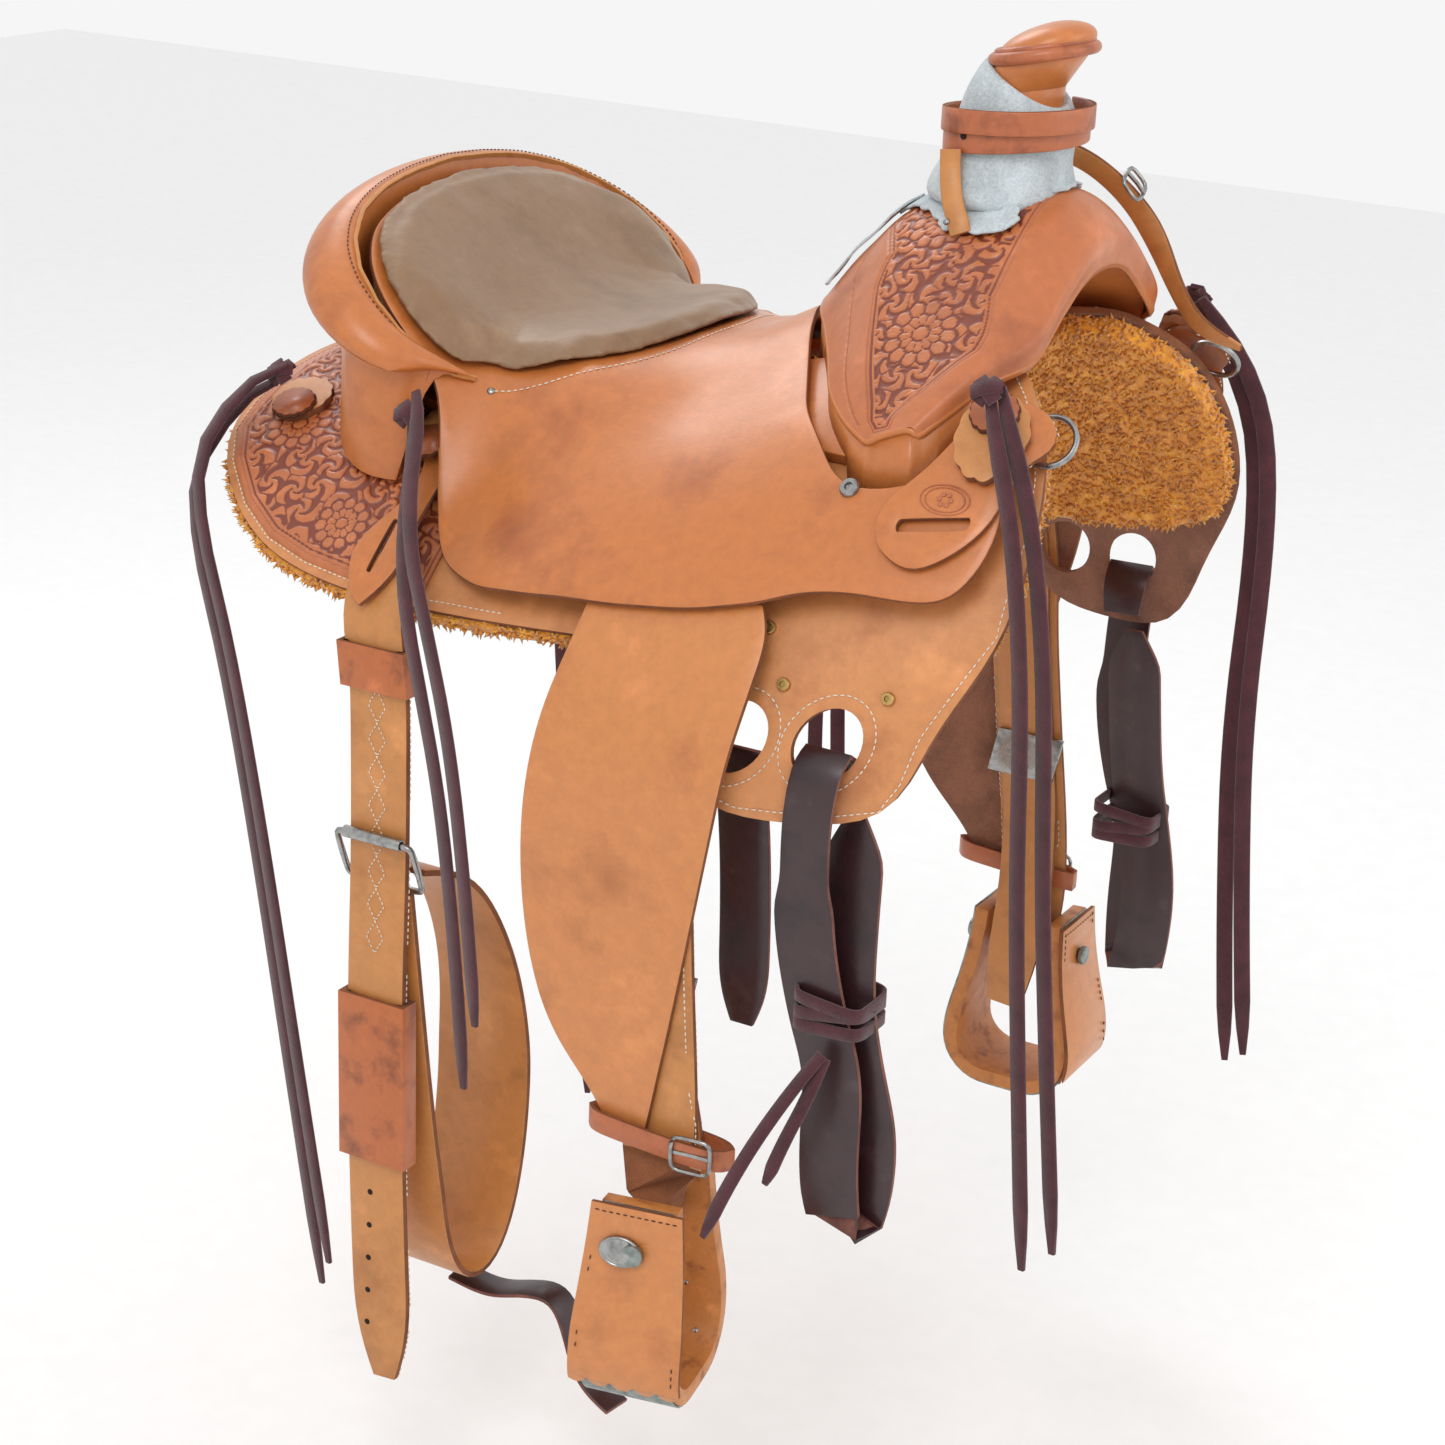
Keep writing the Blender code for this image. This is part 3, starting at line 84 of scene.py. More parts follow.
class SaddleColours(bpy.types.PropertyGroup):
    """Colours of the leathers, the lining and the metal."""

    tan: colour_prop("Tan", "Oiled skirting leather", "#C27238")
    tan_deep: colour_prop("Tan, deep", "Darker patches and edges of the skirting leather", "#A4592B")
    carved: colour_prop("Carved", "Raised face of the carved leather", "#BB6A3A")
    ground: colour_prop("Carved ground", "Background pressed down between the carved leaves", "#7A351E")
    russet: colour_prop("Russet", "Burnished straps", "#B1623A")
    flesh: colour_prop("Flesh side", "Rough inner side of the leather", "#97634A")
    inlay: colour_prop("Seat inlay", "Soft brown leather of the padded seat", "#8A6A4C")
    latigo: colour_prop("Latigo", "Dark burgundy tie straps", "#351B1F")
    thong: colour_prop("Saddle strings", "Burgundy suede thongs", "#54272F")
    suede: colour_prop("Horn wrap", "White-grey suede", "#CFD9DD")
    wool: colour_prop("Fleece", "Golden wool", "#F2A02C")
    # This colour fills random patches of the fleece; the darker wool between the locks is painted shade, made in
    # wool().
    wool_deep: colour_prop("Fleece, deep", "Wool between its locks", "#D28420")
    thread: colour_prop("Thread", "Waxed white thread", "#EADFCB")
    nickel: colour_prop("Nickel", "Plated buckles and rings", "#A6A6A4")
    galvanized: colour_prop("Galvanized band", "Zinc sheet round the stirrups", "#98A09C")
    brass: colour_prop("Brass", "Rivets", "#C9A86A")


class SaddleSizes(bpy.types.PropertyGroup):
    """Sizes of the surface detail."""

    stitch: length_prop("Stitch spacing", "Distance from one stitch to the next", 0.0048)
    thread: length_prop("Thread", "Thickness of the thread", 0.0011)
    carving: length_prop("Carving depth", "Height of the carved leaves over their ground", 0.0016)
    bevel: length_prop("Edge rounding", "Rounding of a strap's edges", 0.0009)
    lock: length_prop("Lock", "Length of a lock of wool", 0.006)


# ---- shapes that the pieces lie on ----
STRING_W = 0.013
STRING_T = 0.0032
SKIRT_TOP = 0.0202
BACK_REAR = (0.0, 2.9, 0.0)
BACK_FRONT = (0.628, 1.28, 0.165)


def bed(x, s, lift, side):
    """The point over the horse's back at x, a distance s round from the spine."""
    part = (max(x + 0.10, 0.0) / 0.40) ** 1.5
    slope, bend, top = [r + (f - r) * part for r, f in zip(BACK_REAR, BACK_FRONT)]
    turn = slope + bend * min(s, 0.27)
    y = (math.sin(turn) - math.sin(slope)) / bend
    z = top - (math.cos(slope) - math.cos(turn)) / bend
    if s > 0.27:
        last = turn + 4.3 * (s - 0.27)
        y += (math.sin(last) - math.sin(turn)) / 4.3
        z -= (math.cos(turn) - math.cos(last)) / 4.3
        turn = last
    return (x, side * (y + lift * math.sin(turn)), z + lift * math.cos(turn))


SKIRT_EDGE = [
    (0.257, 0.080), (0.293, 0.133), (0.313, 0.169), (0.325, 0.209), (0.332, 0.253), (0.331, 0.318),
    (0.309, 0.352), (0.294, 0.375), (0.284, 0.405), (0.269, 0.424), (0.235, 0.424), (0.170, 0.414),
    (0.142, 0.402), (0.122, 0.370), (0.092, 0.322), (0.060, 0.300), (0.028, 0.296), (-0.075, 0.291),
    (-0.157, 0.291), (-0.211, 0.284), (-0.252, 0.272), (-0.288, 0.249), (-0.322, 0.215), (-0.340, 0.184),
    (-0.344, 0.152), (-0.343, 0.100), (-0.330, 0.030), (-0.320, 0.012), (-0.200, 0.008), (-0.05, 0.012),
    (0.06, 0.030), (0.18, 0.055),
]
RIG_HOLES = [(0.228, 0.371), (0.164, 0.362)]
RIG_HOLE_R = 0.024
SKIRT_RIVETS = [(0.170, 0.292), (0.191, 0.330), (0.263, 0.345)]
FORK = [
    (0.000, (0.076, 0.104), (0.112, 0.148), (0.158, 0.186), (0.250, 0.205), (0.288, 0.182), (0.290, 0.156)),
    (0.035, (0.086, 0.102), (0.118, 0.143), (0.160, 0.178), (0.250, 0.196), (0.289, 0.174), (0.290, 0.150)),
    (0.070, (0.108, 0.095), (0.134, 0.128), (0.166, 0.154), (0.248, 0.170), (0.288, 0.152), (0.289, 0.130)),
    (0.105, (0.130, 0.084), (0.152, 0.108), (0.178, 0.124), (0.246, 0.138), (0.285, 0.126), (0.287, 0.106)),
    (0.138, (0.150, 0.069), (0.170, 0.088), (0.192, 0.096), (0.240, 0.109), (0.267, 0.108), (0.270, 0.094)),
    (0.165, (0.176, 0.058), (0.190, 0.070), (0.205, 0.075), (0.232, 0.084), (0.250, 0.086), (0.254, 0.076)),
    (0.184, (0.203, 0.051), (0.208, 0.056), (0.214, 0.059), (0.225, 0.064), (0.236, 0.067), (0.240, 0.061)),
]
FRONT_STRING = [(0.290, 0.182, 0.098), (0.302, 0.196, 0.074), (0.320, 0.211, 0.040), (0.336, 0.222, -0.010),
                (0.345, 0.217, -0.100), (0.346, 0.202, -0.240), (0.358, 0.199, -0.380), (0.373, 0.200, -0.522)]
JOCKEY_STRING = [(-0.150, 0.212, 0.016), (-0.138, 0.228, -0.010), (-0.122, 0.262, -0.050), (-0.100, 0.292, -0.095),
                 (-0.082, 0.298, -0.150), (-0.068, 0.290, -0.240), (-0.061, 0.280, -0.357), (-0.054, 0.276, -0.471)]
CANTLE_STRING = [(-0.296, 0.172, 0.016), (-0.318, 0.192, 0.002), (-0.345, 0.222, -0.050), (-0.332, 0.236, -0.110),
                 (-0.308, 0.234, -0.200), (-0.288, 0.222, -0.360), (-0.264, 0.212, -0.558), (-0.240, 0.205, -0.735)]


# ---- meshes ----
def smooth_path(path, count):
    """A rounder path with a given number of points."""
    path = np.array(path, float)
    for _ in range(3):
        cut = [path[0]]
        for p, q in zip(path[:-1], path[1:]):
            cut += [p * 0.75 + q * 0.25, p * 0.25 + q * 0.75]
        path = np.array(cut + [path[-1]])
    along = np.concatenate([[0], np.cumsum(np.linalg.norm(np.diff(path, axis=0), axis=1))])
    at = np.linspace(0, along[-1], count)
    return np.stack([np.interp(at, along, path[:, i]) for i in range(path.shape[1])], axis=1)


def piece(name, points, faces, *looks, smooth=True):
    """A new mesh object with its materials."""
    mesh = bpy.data.meshes.new(name)
    mesh.from_pydata([tuple(map(float, p)) for p in points], [], [tuple(map(int, f)) for f in faces])
    mesh.update()
    made = bpy.data.objects.new(name, mesh)
    bpy.context.scene.collection.objects.link(made)
    for look in looks:
        mesh.materials.append(look)
    if smooth:
        mesh.shade_smooth()
    return made


def outward(obj):
    """Turns a closed mesh's faces outwards."""
    built = bmesh.new()
    built.from_mesh(obj.data)
    bmesh.ops.recalc_face_normals(built, faces=built.faces)
    built.to_mesh(obj.data)
    built.free()


def baked(obj):
    """The object with its modifiers made real."""
    bpy.context.view_layer.update()
    graph = bpy.context.evaluated_depsgraph_get()
    mesh = bpy.data.meshes.new_from_object(obj.evaluated_get(graph), depsgraph=graph)
    obj.modifiers.clear()
    obj.data = mesh
    return obj


def wear(obj, body, slot, *nodes):
    """Ties a finished piece to its body and hides the solids that it stands for; the slot is not used."""
    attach(obj, body)
    if nodes:
        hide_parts(*nodes)
    return obj


def body_of(node):
    """The body that holds a solid."""
    for name, members in frame["record"]["behaviour"]["bodies"].items():
        if node in members:
            return name
    raise RuntimeError("no body holds " + node)


def refined(node, look, rim=None, levels=2, slot="leather_tan", thick=0.0075, bevel=None, back=None, sharp=50):
    """A smooth copy of a solid: creased edges, rounded rims, its rim and its inner side in their own leathers."""
    mesh = frame["nodes"][node].data.copy()
    mesh.materials.clear()
    built = bmesh.new()
    built.from_mesh(mesh)
    bmesh.ops.remove_doubles(built, verts=built.verts, dist=0.00002)
    bmesh.ops.join_triangles(built, faces=built.faces, angle_face_threshold=math.radians(25),
                             angle_shape_threshold=math.radians(60))
    built.normal_update()
    crease = built.edges.layers.float.new("crease_edge")
    for edge in built.edges:
        if len(edge.link_faces) == 2 and edge.calc_face_angle(0) > math.radians(sharp):
            edge[crease] = 1.0
    if rim or back:
        tree = BVHTree.FromBMesh(built)
        middle = sum((v.co for v in built.verts), Vector()) / len(built.verts)
        side = 1 if middle.y > 0 else -1
        for face in built.faces:
            at = face.calc_center_median()
            hit = tree.ray_cast(at - face.normal * 0.0002, -face.normal, 0.2)
            wall = hit[3] is None or hit[3] > thick
            if wall and rim:
                face.material_index = 1
            elif back and face.normal.y * side < -0.05 and abs(middle.y) > 0.02:
                face.material_index = 2
    built.to_mesh(mesh)
    built.free()
    obj = bpy.data.objects.new(node + "_shown", mesh)
    bpy.context.scene.collection.objects.link(obj)
    for one in (look, rim or look, back or look):
        mesh.materials.append(one)
    mesh.shade_smooth()
    if levels:
        sub = obj.modifiers.new("Smooth", "SUBSURF")
        sub.levels = sub.render_levels = levels
        sub.boundary_smooth = "ALL"
    bevel = bpy.context.scene.saddle_sizes.bevel if bevel is None else bevel
    if bevel:
        cut = obj.modifiers.new("Edges", "BEVEL")
        cut.width = bevel
        cut.segments = 2
        cut.angle_limit = math.radians(45)
        cut.harden_normals = False
    baked(obj)
    obj.data.shade_smooth()
    obj.data.set_sharp_from_angle(angle=math.radians(48))
    wear(obj, body_of(node), slot, node)
    return obj


def band(name, path, across, width, thick, *looks):
    """A flat strap with rounded edges along a path, closed at both ends."""
    path = np.asarray(path, float)
    count = len(path)
    across = np.broadcast_to(np.asarray(across, float), (count, 3))
    width = np.broadcast_to(np.asarray(width, float), (count,))
    along = np.gradient(path, axis=0)
    section = [(-0.5, -0.2), (-0.44, -0.5), (0.0, -0.5), (0.44, -0.5), (0.5, -0.2), (0.5, 0.2), (0.44, 0.5), (0.0, 0.5),
               (-0.44, 0.5), (-0.5, 0.2)]
    points = []
    for p, t, side, w in zip(path, along, across, width):
        t = t / np.linalg.norm(t)
        side = side - t * np.dot(side, t)
        side = side / np.linalg.norm(side)
        up = np.cross(t, side)
        points += [p + side * (u * w) + up * (v * thick) for u, v in section]
    n = len(section)
    faces = [[i * n + j, i * n + (j + 1) % n, (i + 1) * n + (j + 1) % n, (i + 1) * n + j]
             for i in range(count - 1) for j in range(n)]
    faces += [list(range(n))[::-1], [(count - 1) * n + j for j in range(n)]]
    obj = piece(name, points, faces, *looks)
    outward(obj)
    obj.data.set_sharp_from_angle(angle=math.radians(60))
    return obj


def turned(name, centre, axis, profile, look, sides=20):
    """A small turned part: the profile gives radius and height along the axis."""
    axis = Vector(axis).normalized()
    u = axis.orthogonal().normalized()
    v = axis.cross(u)
    points, faces = [], []
    for r, h in profile:
        for i in range(sides):
            t = 2 * math.pi * i / sides
            points.append(Vector(centre) + axis * h + (u * math.cos(t) + v * math.sin(t)) * max(r, 0.00002))
    for k in range(len(profile) - 1):
        for i in range(sides):
            j = (i + 1) % sides
            faces.append([k * sides + i, k * sides + j, (k + 1) * sides + j, (k + 1) * sides + i])
    faces += [list(range(sides))[::-1], [(len(profile) - 1) * sides + i for i in range(sides)]]
    obj = piece(name, points, faces, look)
    outward(obj)
    obj.data.set_sharp_from_angle(angle=math.radians(40))
    return obj


def joined(name, parts):
    """Several small parts as one mesh."""
    if len(parts) > 1:
        bpy.ops.object.select_all(action="DESELECT")
        for part in parts:
            part.select_set(True)
        bpy.context.view_layer.objects.active = parts[0]
        bpy.ops.object.join()
    parts[0].name = name
    parts[0].data.name = name
    return parts[0]


# ---- materials ----
RAMP = "ShaderNodeValToRGB"
MIX = "ShaderNodeMix"
NOISE = "ShaderNodeTexNoise"
CELLS = "ShaderNodeTexVoronoi"


def add(tree, kind, at=(0, 0), stops=(), **values):
    """Adds a node. Values name its settings or inputs, a socket as a value makes a link, and stops fill a ramp."""
    made = tree.nodes.new(kind)
    made.location = at
    for key, value in values.items():
        socket = None
        if key.startswith("in_"):
            socket = made.inputs[int(key[3:])]
        elif key.replace("_", " ") in [s.name for s in made.inputs] and not hasattr(type(made), key):
            socket = made.inputs[key.replace("_", " ")]
        if socket is None:
            setattr(made, key, value)
        elif isinstance(value, bpy.types.NodeSocket):
            tree.links.new(value, socket)
        else:
            socket.default_value = value
    while stops and len(made.color_ramp.elements) < len(stops):
        made.color_ramp.elements.new(0.5)
    for (place, value), element in zip(stops, made.color_ramp.elements if stops else ()):
        element.position = place
        element.color = tuple(value) + (1,) if hasattr(value, "__len__") else (value, value, value, 1)
    return made


def begin(name):
    """A new material with its Principled shader and Object coordinates."""
    look = bpy.data.materials.new(name)
    look.use_nodes = True
    tree = look.node_tree
    tree.nodes.clear()
    shader = add(tree, "ShaderNodeBsdfPrincipled", (600, 0))
    add(tree, "ShaderNodeOutputMaterial", (900, 0), Surface=shader.outputs[0])
    place = add(tree, "ShaderNodeTexCoord", (-1200, 0)).outputs["Object"]
    return look, tree, shader, place


# Scales of the patterns, in metres.
DYE_STREAK = 0.009
PORE = 0.0011
FLEECE_CLUMP = 0.016
FLEECE_CURL = 0.0028
TARNISH = 0.006


def leather(name, main, deep, light=None, rough=0.42, coat=0.18, pore=PORE, bump=0.10, patch=0.05, carved=None,
            wrinkle=0.0, sheen=0.0):
    """Leather: cloudy dye, fine pores, a soft shine, and on carved leather a dark ground from the mesh's attribute."""
    look, tree, shader, place = begin(name)
    light = light or tuple(min(c * 1.35 + 0.02, 1) for c in main)
    cloud = add(tree, NOISE, (-900, 300), Vector=place, Scale=1 / patch, Detail=5.0, Roughness=0.6).outputs["Fac"]
    dye = add(tree, RAMP, (-600, 300), Fac=cloud, stops=[(0.30, deep), (0.47, main), (0.60, main), (0.78, light)])
    streak = add(tree, NOISE, (-900, 60), Vector=place, Scale=1 / DYE_STREAK, Detail=6.0, Roughness=0.7)
    shade = add(tree, RAMP, (-600, 60), Fac=streak.outputs["Fac"], stops=[(0.35, 0.55), (0.65, 1.15)])
    colour = add(tree, MIX, (-250, 250), data_type="RGBA", blend_type="MULTIPLY", in_0=0.22, in_6=dye.outputs[0],
                 in_7=shade.outputs[0]).outputs[2]
    pores = add(tree, CELLS, (-900, -200), Vector=place, Scale=1 / pore)
    fine = add(tree, NOISE, (-900, -450), Vector=place, Scale=1 / (pore * 3), Detail=4.0)
    rise = add(tree, "ShaderNodeMath", (-500, -300), operation="MULTIPLY_ADD", in_0=pores.outputs["Distance"], in_1=0.5,
               in_2=fine.outputs["Fac"]).outputs[0]
    if wrinkle:
        fold = add(tree, NOISE, (-900, -700), Vector=place, Scale=1 / wrinkle, Detail=3.0, Distortion=0.6)
        rise = add(tree, "ShaderNodeMath", (-350, -500), operation="MULTIPLY_ADD", in_0=fold.outputs["Fac"], in_1=2.5,
                   in_2=rise).outputs[0]
    if carved:
        depth = add(tree, "ShaderNodeAttribute", (-900, 600), attribute_name="carving").outputs["Fac"]
        ground = add(tree, RAMP, (-600, 600), Fac=depth,
                     stops=[(0.0, carved), (0.32, carved), (0.62, deep), (0.82, (1, 1, 1))])
        raised = add(tree, RAMP, (-600, 800), Fac=depth, stops=[(0.30, 0.0), (0.72, 1.0)])
        colour = add(tree, MIX, (0, 400), data_type="RGBA", in_0=raised.outputs[0], in_6=ground.outputs[0],
                     in_7=colour).outputs[2]
    gloss = add(tree, RAMP, (-250, 0), Fac=cloud, stops=[(0.3, min(rough + 0.12, 1.0)), (0.7, max(rough - 0.06, 0.05))])
    lift = add(tree, "ShaderNodeBump", (300, -300), Strength=1.0, Distance=0.001 * bump, Height=rise)
    tree.links.new(colour, shader.inputs["Base Color"])
    tree.links.new(gloss.outputs[0], shader.inputs["Roughness"])
    tree.links.new(lift.outputs[0], shader.inputs["Normal"])
    shader.inputs["Coat Weight"].default_value = coat
    shader.inputs["Coat Roughness"].default_value = 0.28
    shader.inputs["Sheen Weight"].default_value = sheen
    return look


def nap(name, main, deep, scale=0.0016, depth=0.0006, patch=0.03, sheen=0.3):
    """Suede, flesh side and cut edges: rough, fibrous and without shine."""
    look, tree, shader, place = begin(name)
    wide = add(tree, NOISE, (-900, 300), Vector=place, Scale=1 / patch, Detail=6.0, Roughness=0.65)
    fibre = add(tree, NOISE, (-900, 0), Vector=place, Scale=1 / scale, Detail=5.0, Roughness=0.7)
    dye = add(tree, RAMP, (-600, 300), Fac=wide.outputs["Fac"], stops=[(0.32, deep), (0.62, main)])
    # Painted shade: the fibre noise that raises the bump also darkens its low places.
    shade = add(tree, RAMP, (-600, 0), Fac=fibre.outputs["Fac"], stops=[(0.35, 0.55), (0.62, 1.1)])
    colour = add(tree, MIX, (-200, 200), data_type="RGBA", blend_type="MULTIPLY", in_0=0.5, in_6=dye.outputs[0],
                 in_7=shade.outputs[0])
    lift = add(tree, "ShaderNodeBump", (300, -300), Strength=1.0, Distance=depth, Height=fibre.outputs["Fac"])
    tree.links.new(colour.outputs[2], shader.inputs["Base Color"])
    tree.links.new(lift.outputs[0], shader.inputs["Normal"])
    shader.inputs["Roughness"].default_value = 0.95
    shader.inputs["Sheen Weight"].default_value = sheen
    return look


def metal(name, main, rough=0.25, spangle=0.0):
    """Plated or galvanized metal with faint scratches."""
    look, tree, shader, place = begin(name)
    cloud = add(tree, NOISE, (-900, 300), Vector=place, Scale=1 / TARNISH, Detail=5.0).outputs["Fac"]
    dark = tuple(c * 0.62 for c in main)
    colour = add(tree, RAMP, (-600, 300), Fac=cloud, stops=[(0.30, dark), (0.55, main)]).outputs[0]
    if spangle:
        grain = add(tree, CELLS, (-900, 0), Vector=place, Scale=1 / spangle)
        shade = add(tree, RAMP, (-600, 0), Fac=grain.outputs["Color"], stops=[(0.2, 0.6), (0.8, 1.15)])
        colour = add(tree, MIX, (-200, 200), data_type="RGBA", blend_type="MULTIPLY", in_0=0.35, in_6=colour,
                     in_7=shade.outputs[0]).outputs[2]
    gloss = add(tree, RAMP, (-250, 0), Fac=cloud, stops=[(0.3, min(rough + 0.18, 1)), (0.7, rough)])
    scratch = add(tree, NOISE, (-900, -300), Vector=place, Scale=900.0, Detail=2.0)
    lift = add(tree, "ShaderNodeBump", (300, -300), Strength=0.4, Distance=0.00006, Height=scratch.outputs["Fac"])
    tree.links.new(colour, shader.inputs["Base Color"])
    tree.links.new(gloss.outputs[0], shader.inputs["Roughness"])
    tree.links.new(lift.outputs[0], shader.inputs["Normal"])
    shader.inputs["Metallic"].default_value = 1.0
    return look


def wool(name, main, deep):
    """Fleece: clumped locks in golden and brown patches, with painted light on the locks' tops and painted shade
    between them.
    """
    look, tree, shader, place = begin(name)
    clump = add(tree, NOISE, (-900, 300), Vector=place, Scale=1 / FLEECE_CLUMP, Detail=6.0, Roughness=0.7)
    lock = add(tree, NOISE, (-900, 0), Vector=place, Scale=1 / FLEECE_CURL, Detail=4.0, Distortion=0.8).outputs["Fac"]
    dye = add(tree, RAMP, (-600, 300), Fac=clump.outputs["Fac"],
              stops=[(0.34, deep), (0.52, main), (0.72, tuple(min(c * 1.5, 1) for c in main))])
    # Painted light and shade: the lock noise that raises the bump also lightens its tops and darkens the hollows
    # between them.
    shade = add(tree, RAMP, (-600, 0), Fac=lock, stops=[(0.30, 0.72), (0.66, 1.10)])
    colour = add(tree, MIX, (-200, 200), data_type="RGBA", blend_type="MULTIPLY", in_0=0.55, in_6=dye.outputs[0],
                 in_7=shade.outputs[0])
    lift = add(tree, "ShaderNodeBump", (300, -300), Strength=1.0, Distance=0.0016, Height=lock)
    tree.links.new(colour.outputs[2], shader.inputs["Base Color"])
    tree.links.new(lift.outputs[0], shader.inputs["Normal"])
    shader.inputs["Roughness"].default_value = 1.0
    shader.inputs["Sheen Weight"].default_value = 0.5
    shader.inputs["Sheen Roughness"].default_value = 0.5
    return look


def timber(name, main, deep):
    """Wood with long grain."""
    look, tree, shader, place = begin(name)
    long = add(tree, "ShaderNodeMapping", (-1050, 0), Vector=place, Scale=(1.0, 8.0, 8.0))
    grain = add(tree, NOISE, (-900, 0), Vector=long.outputs[0], Scale=30.0, Detail=6.0, Distortion=1.2).outputs["Fac"]
    colour = add(tree, RAMP, (-500, 0), Fac=grain, stops=[(0.35, deep), (0.6, main)])
    lift = add(tree, "ShaderNodeBump", (300, -300), Strength=0.5, Distance=0.0003, Height=grain)
    tree.links.new(colour.outputs[0], shader.inputs["Base Color"])
    tree.links.new(lift.outputs[0], shader.inputs["Normal"])
    shader.inputs["Roughness"].default_value = 0.6
    return look


def darker(colour, share):
    """A colour with each channel multiplied by a share."""
    return tuple(v * share for v in colour)


LOOKS = {}


def look(name):
    """A finish by its name, made the first time it is asked for."""
    if name in LOOKS:
        return LOOKS[name]
    c = bpy.context.scene.saddle_colours
    cut = linear("#8E5534")
    makers = {
        # Vegetable-tanned and oiled: a warm satin with slow clouds where the oil went in unevenly.
        "tan": lambda: leather("Oiled skirting leather", c.tan, c.tan_deep, rough=0.36, coat=0.25, patch=0.11),
        # The same hide rolled hard and glazed: a little lighter, smoother and shinier.
        "fender": lambda: leather("Glazed skirting leather", linear("#C97F45"), linear("#B06A36"), rough=0.33, coat=0.3,
                                  patch=0.09, bump=0.12),
        # The same hide with less oil: paler and duller.
        "skirt": lambda: leather("Dry skirting leather", linear("#CB8650"), linear("#A96438"), coat=0.15, patch=0.09),
        # Carved and antiqued: the dark paste stays in the pressed ground and the raised leaves shine.
        "carved": lambda: leather("Carved skirting leather", c.carved, linear("#A55A33"), carved=c.ground, rough=0.40,
                                  coat=0.25),
        # Burnished by rubbing: redder, with close darker blotches.
        "russet": lambda: leather("Burnished harness leather", c.russet, linear("#83432A"), rough=0.38, coat=0.2,
                                  patch=0.03),
        # Plain straps: yellower tan and a low shine.
        "strap": lambda: leather("Harness leather", linear("#C28145"), linear("#A86B37"), coat=0.15, patch=0.07),
        # Thin lining wetted and pulled over wood: wrinkled, blotched and nearly matt.
        "liner": lambda: leather("Wet-formed lining leather", linear("#C07A3C"), linear("#93532A"), rough=0.5, coat=0.1,
                                 patch=0.02, wrinkle=0.008),
        # Waxed sleeves: deep orange brown with a bright, uneven shine.
        "sleeve": lambda: leather("Waxed harness leather", linear("#B4602A"), linear("#7E3E1C"), rough=0.35, coat=0.3,
                                  patch=0.03),
        # Leather cut through: matt, fibrous and darker than the face.
        "edge": lambda: nap("Cut leather edge", cut, darker(cut, 0.55), scale=0.0012, depth=0.0003, sheen=0.0),
        # The same edge dyed and rubbed: nearly black brown.
        "dark edge": lambda: nap("Burnished leather edge", linear("#6B3A22"), linear("#472517"), scale=0.0012,
                                 depth=0.0002, sheen=0.0),
        # The inner side of the hide: loose fibres and no shine.
        "flesh": lambda: nap("Flesh side of leather", c.flesh, darker(c.flesh, 0.6)),
        # Soft upholstery hide: a wide grain, grey brown, with a slight bloom and hardly a highlight.
        "inlay": lambda: leather("Soft grain leather", c.inlay, darker(c.inlay, 0.72), rough=0.5, coat=0.08,
                                 pore=0.0016, bump=0.25, patch=0.09, sheen=0.15),
        # Latigo, tanned with alum and bark and stuffed with grease: dark burgundy, shiny and slightly wrinkled.
        "latigo": lambda: leather("Latigo leather", c.latigo, darker(c.latigo, 0.5), rough=0.34, coat=0.3, patch=0.03,
                                  wrinkle=0.014),
        # The dye doesn't go through, so the cut edge is paler than the face.
        "latigo edge": lambda: nap("Cut latigo edge", linear("#8C5A4C"), linear("#5E3A33"), scale=0.001, depth=0.0002,
                                   sheen=0.0),
        # Strings with a brushed side: dull burgundy that catches light at its fibres.
        "thong": lambda: nap("Burgundy suede", c.thong, darker(c.thong, 0.6), scale=0.0014, patch=0.02),
        # Chrome-tanned split: cold white-grey with a coarse brushed nap.
        "suede": lambda: nap("White-grey suede", c.suede, darker(c.suede, 0.72), scale=0.0022, depth=0.0012),
        # Sheepskin: golden locks in random brown patches, painted light on the locks' tops and painted shade between
        # them, and a soft bloom at its rim.
        "wool": lambda: wool("Sheepskin fleece", c.wool, c.wool_deep),
        # Waxed thread: off-white and matt. The twist is too fine to show and is drawn as a faint grain, darker in its
        # low places as painted shade.
        "thread": lambda: nap("White waxed thread", c.thread, darker(c.thread, 0.75), scale=0.0006, depth=0.0001),
        "dark thread": lambda: nap("Brown waxed thread", linear("#5A2F1C"), linear("#3A1D12"), scale=0.0006,
                                   depth=0.0001),
        # Nickel plate: bright, a little yellow against chrome, clouded by handling.
        "nickel": lambda: metal("Nickel plate", c.nickel, 0.2),
        # Hot-dipped zinc: dull grey with patches of its crystals.
        "zinc": lambda: metal("Galvanized sheet", c.galvanized, 0.4, spangle=0.007),
        # Brass left to tarnish: soft yellow, darker in its hollows.
        "brass": lambda: metal("Cast brass", c.brass, 0.3),
        # Bare sawn softwood: pale straw with brown grain along the part.
        "tree": lambda: timber("Sawn pine", linear("#A98B5E"), linear("#7C6039")),
        # Painted shade for a punched hole: nearly black, with no highlight, laid where the hole's inside lies in shade.
        "hole": lambda: nap("Painted shade of a punched hole", linear("#23130C"), linear("#120906"), sheen=0.0),
    }
    LOOKS[name] = makers[name]()
    return LOOKS[name]


# ---- node trees for what repeats ----
def tree_of(name, sockets):
    """An empty node tree for a modifier, with its named inputs."""
    tree = bpy.data.node_groups.new(name, "GeometryNodeTree")
    tree.interface.new_socket("Geometry", in_out="INPUT", socket_type="NodeSocketGeometry")
    tree.interface.new_socket("Geometry", in_out="OUTPUT", socket_type="NodeSocketGeometry")
    for label, kind, value in sockets:
        made = tree.interface.new_socket(label, in_out="INPUT", socket_type="NodeSocket" + kind)
        if value is not None:
            made.default_value = value
    start = add(tree, "NodeGroupInput", (-900, 0))
    end = add(tree, "NodeGroupOutput", (900, 0))
    return tree, start, end


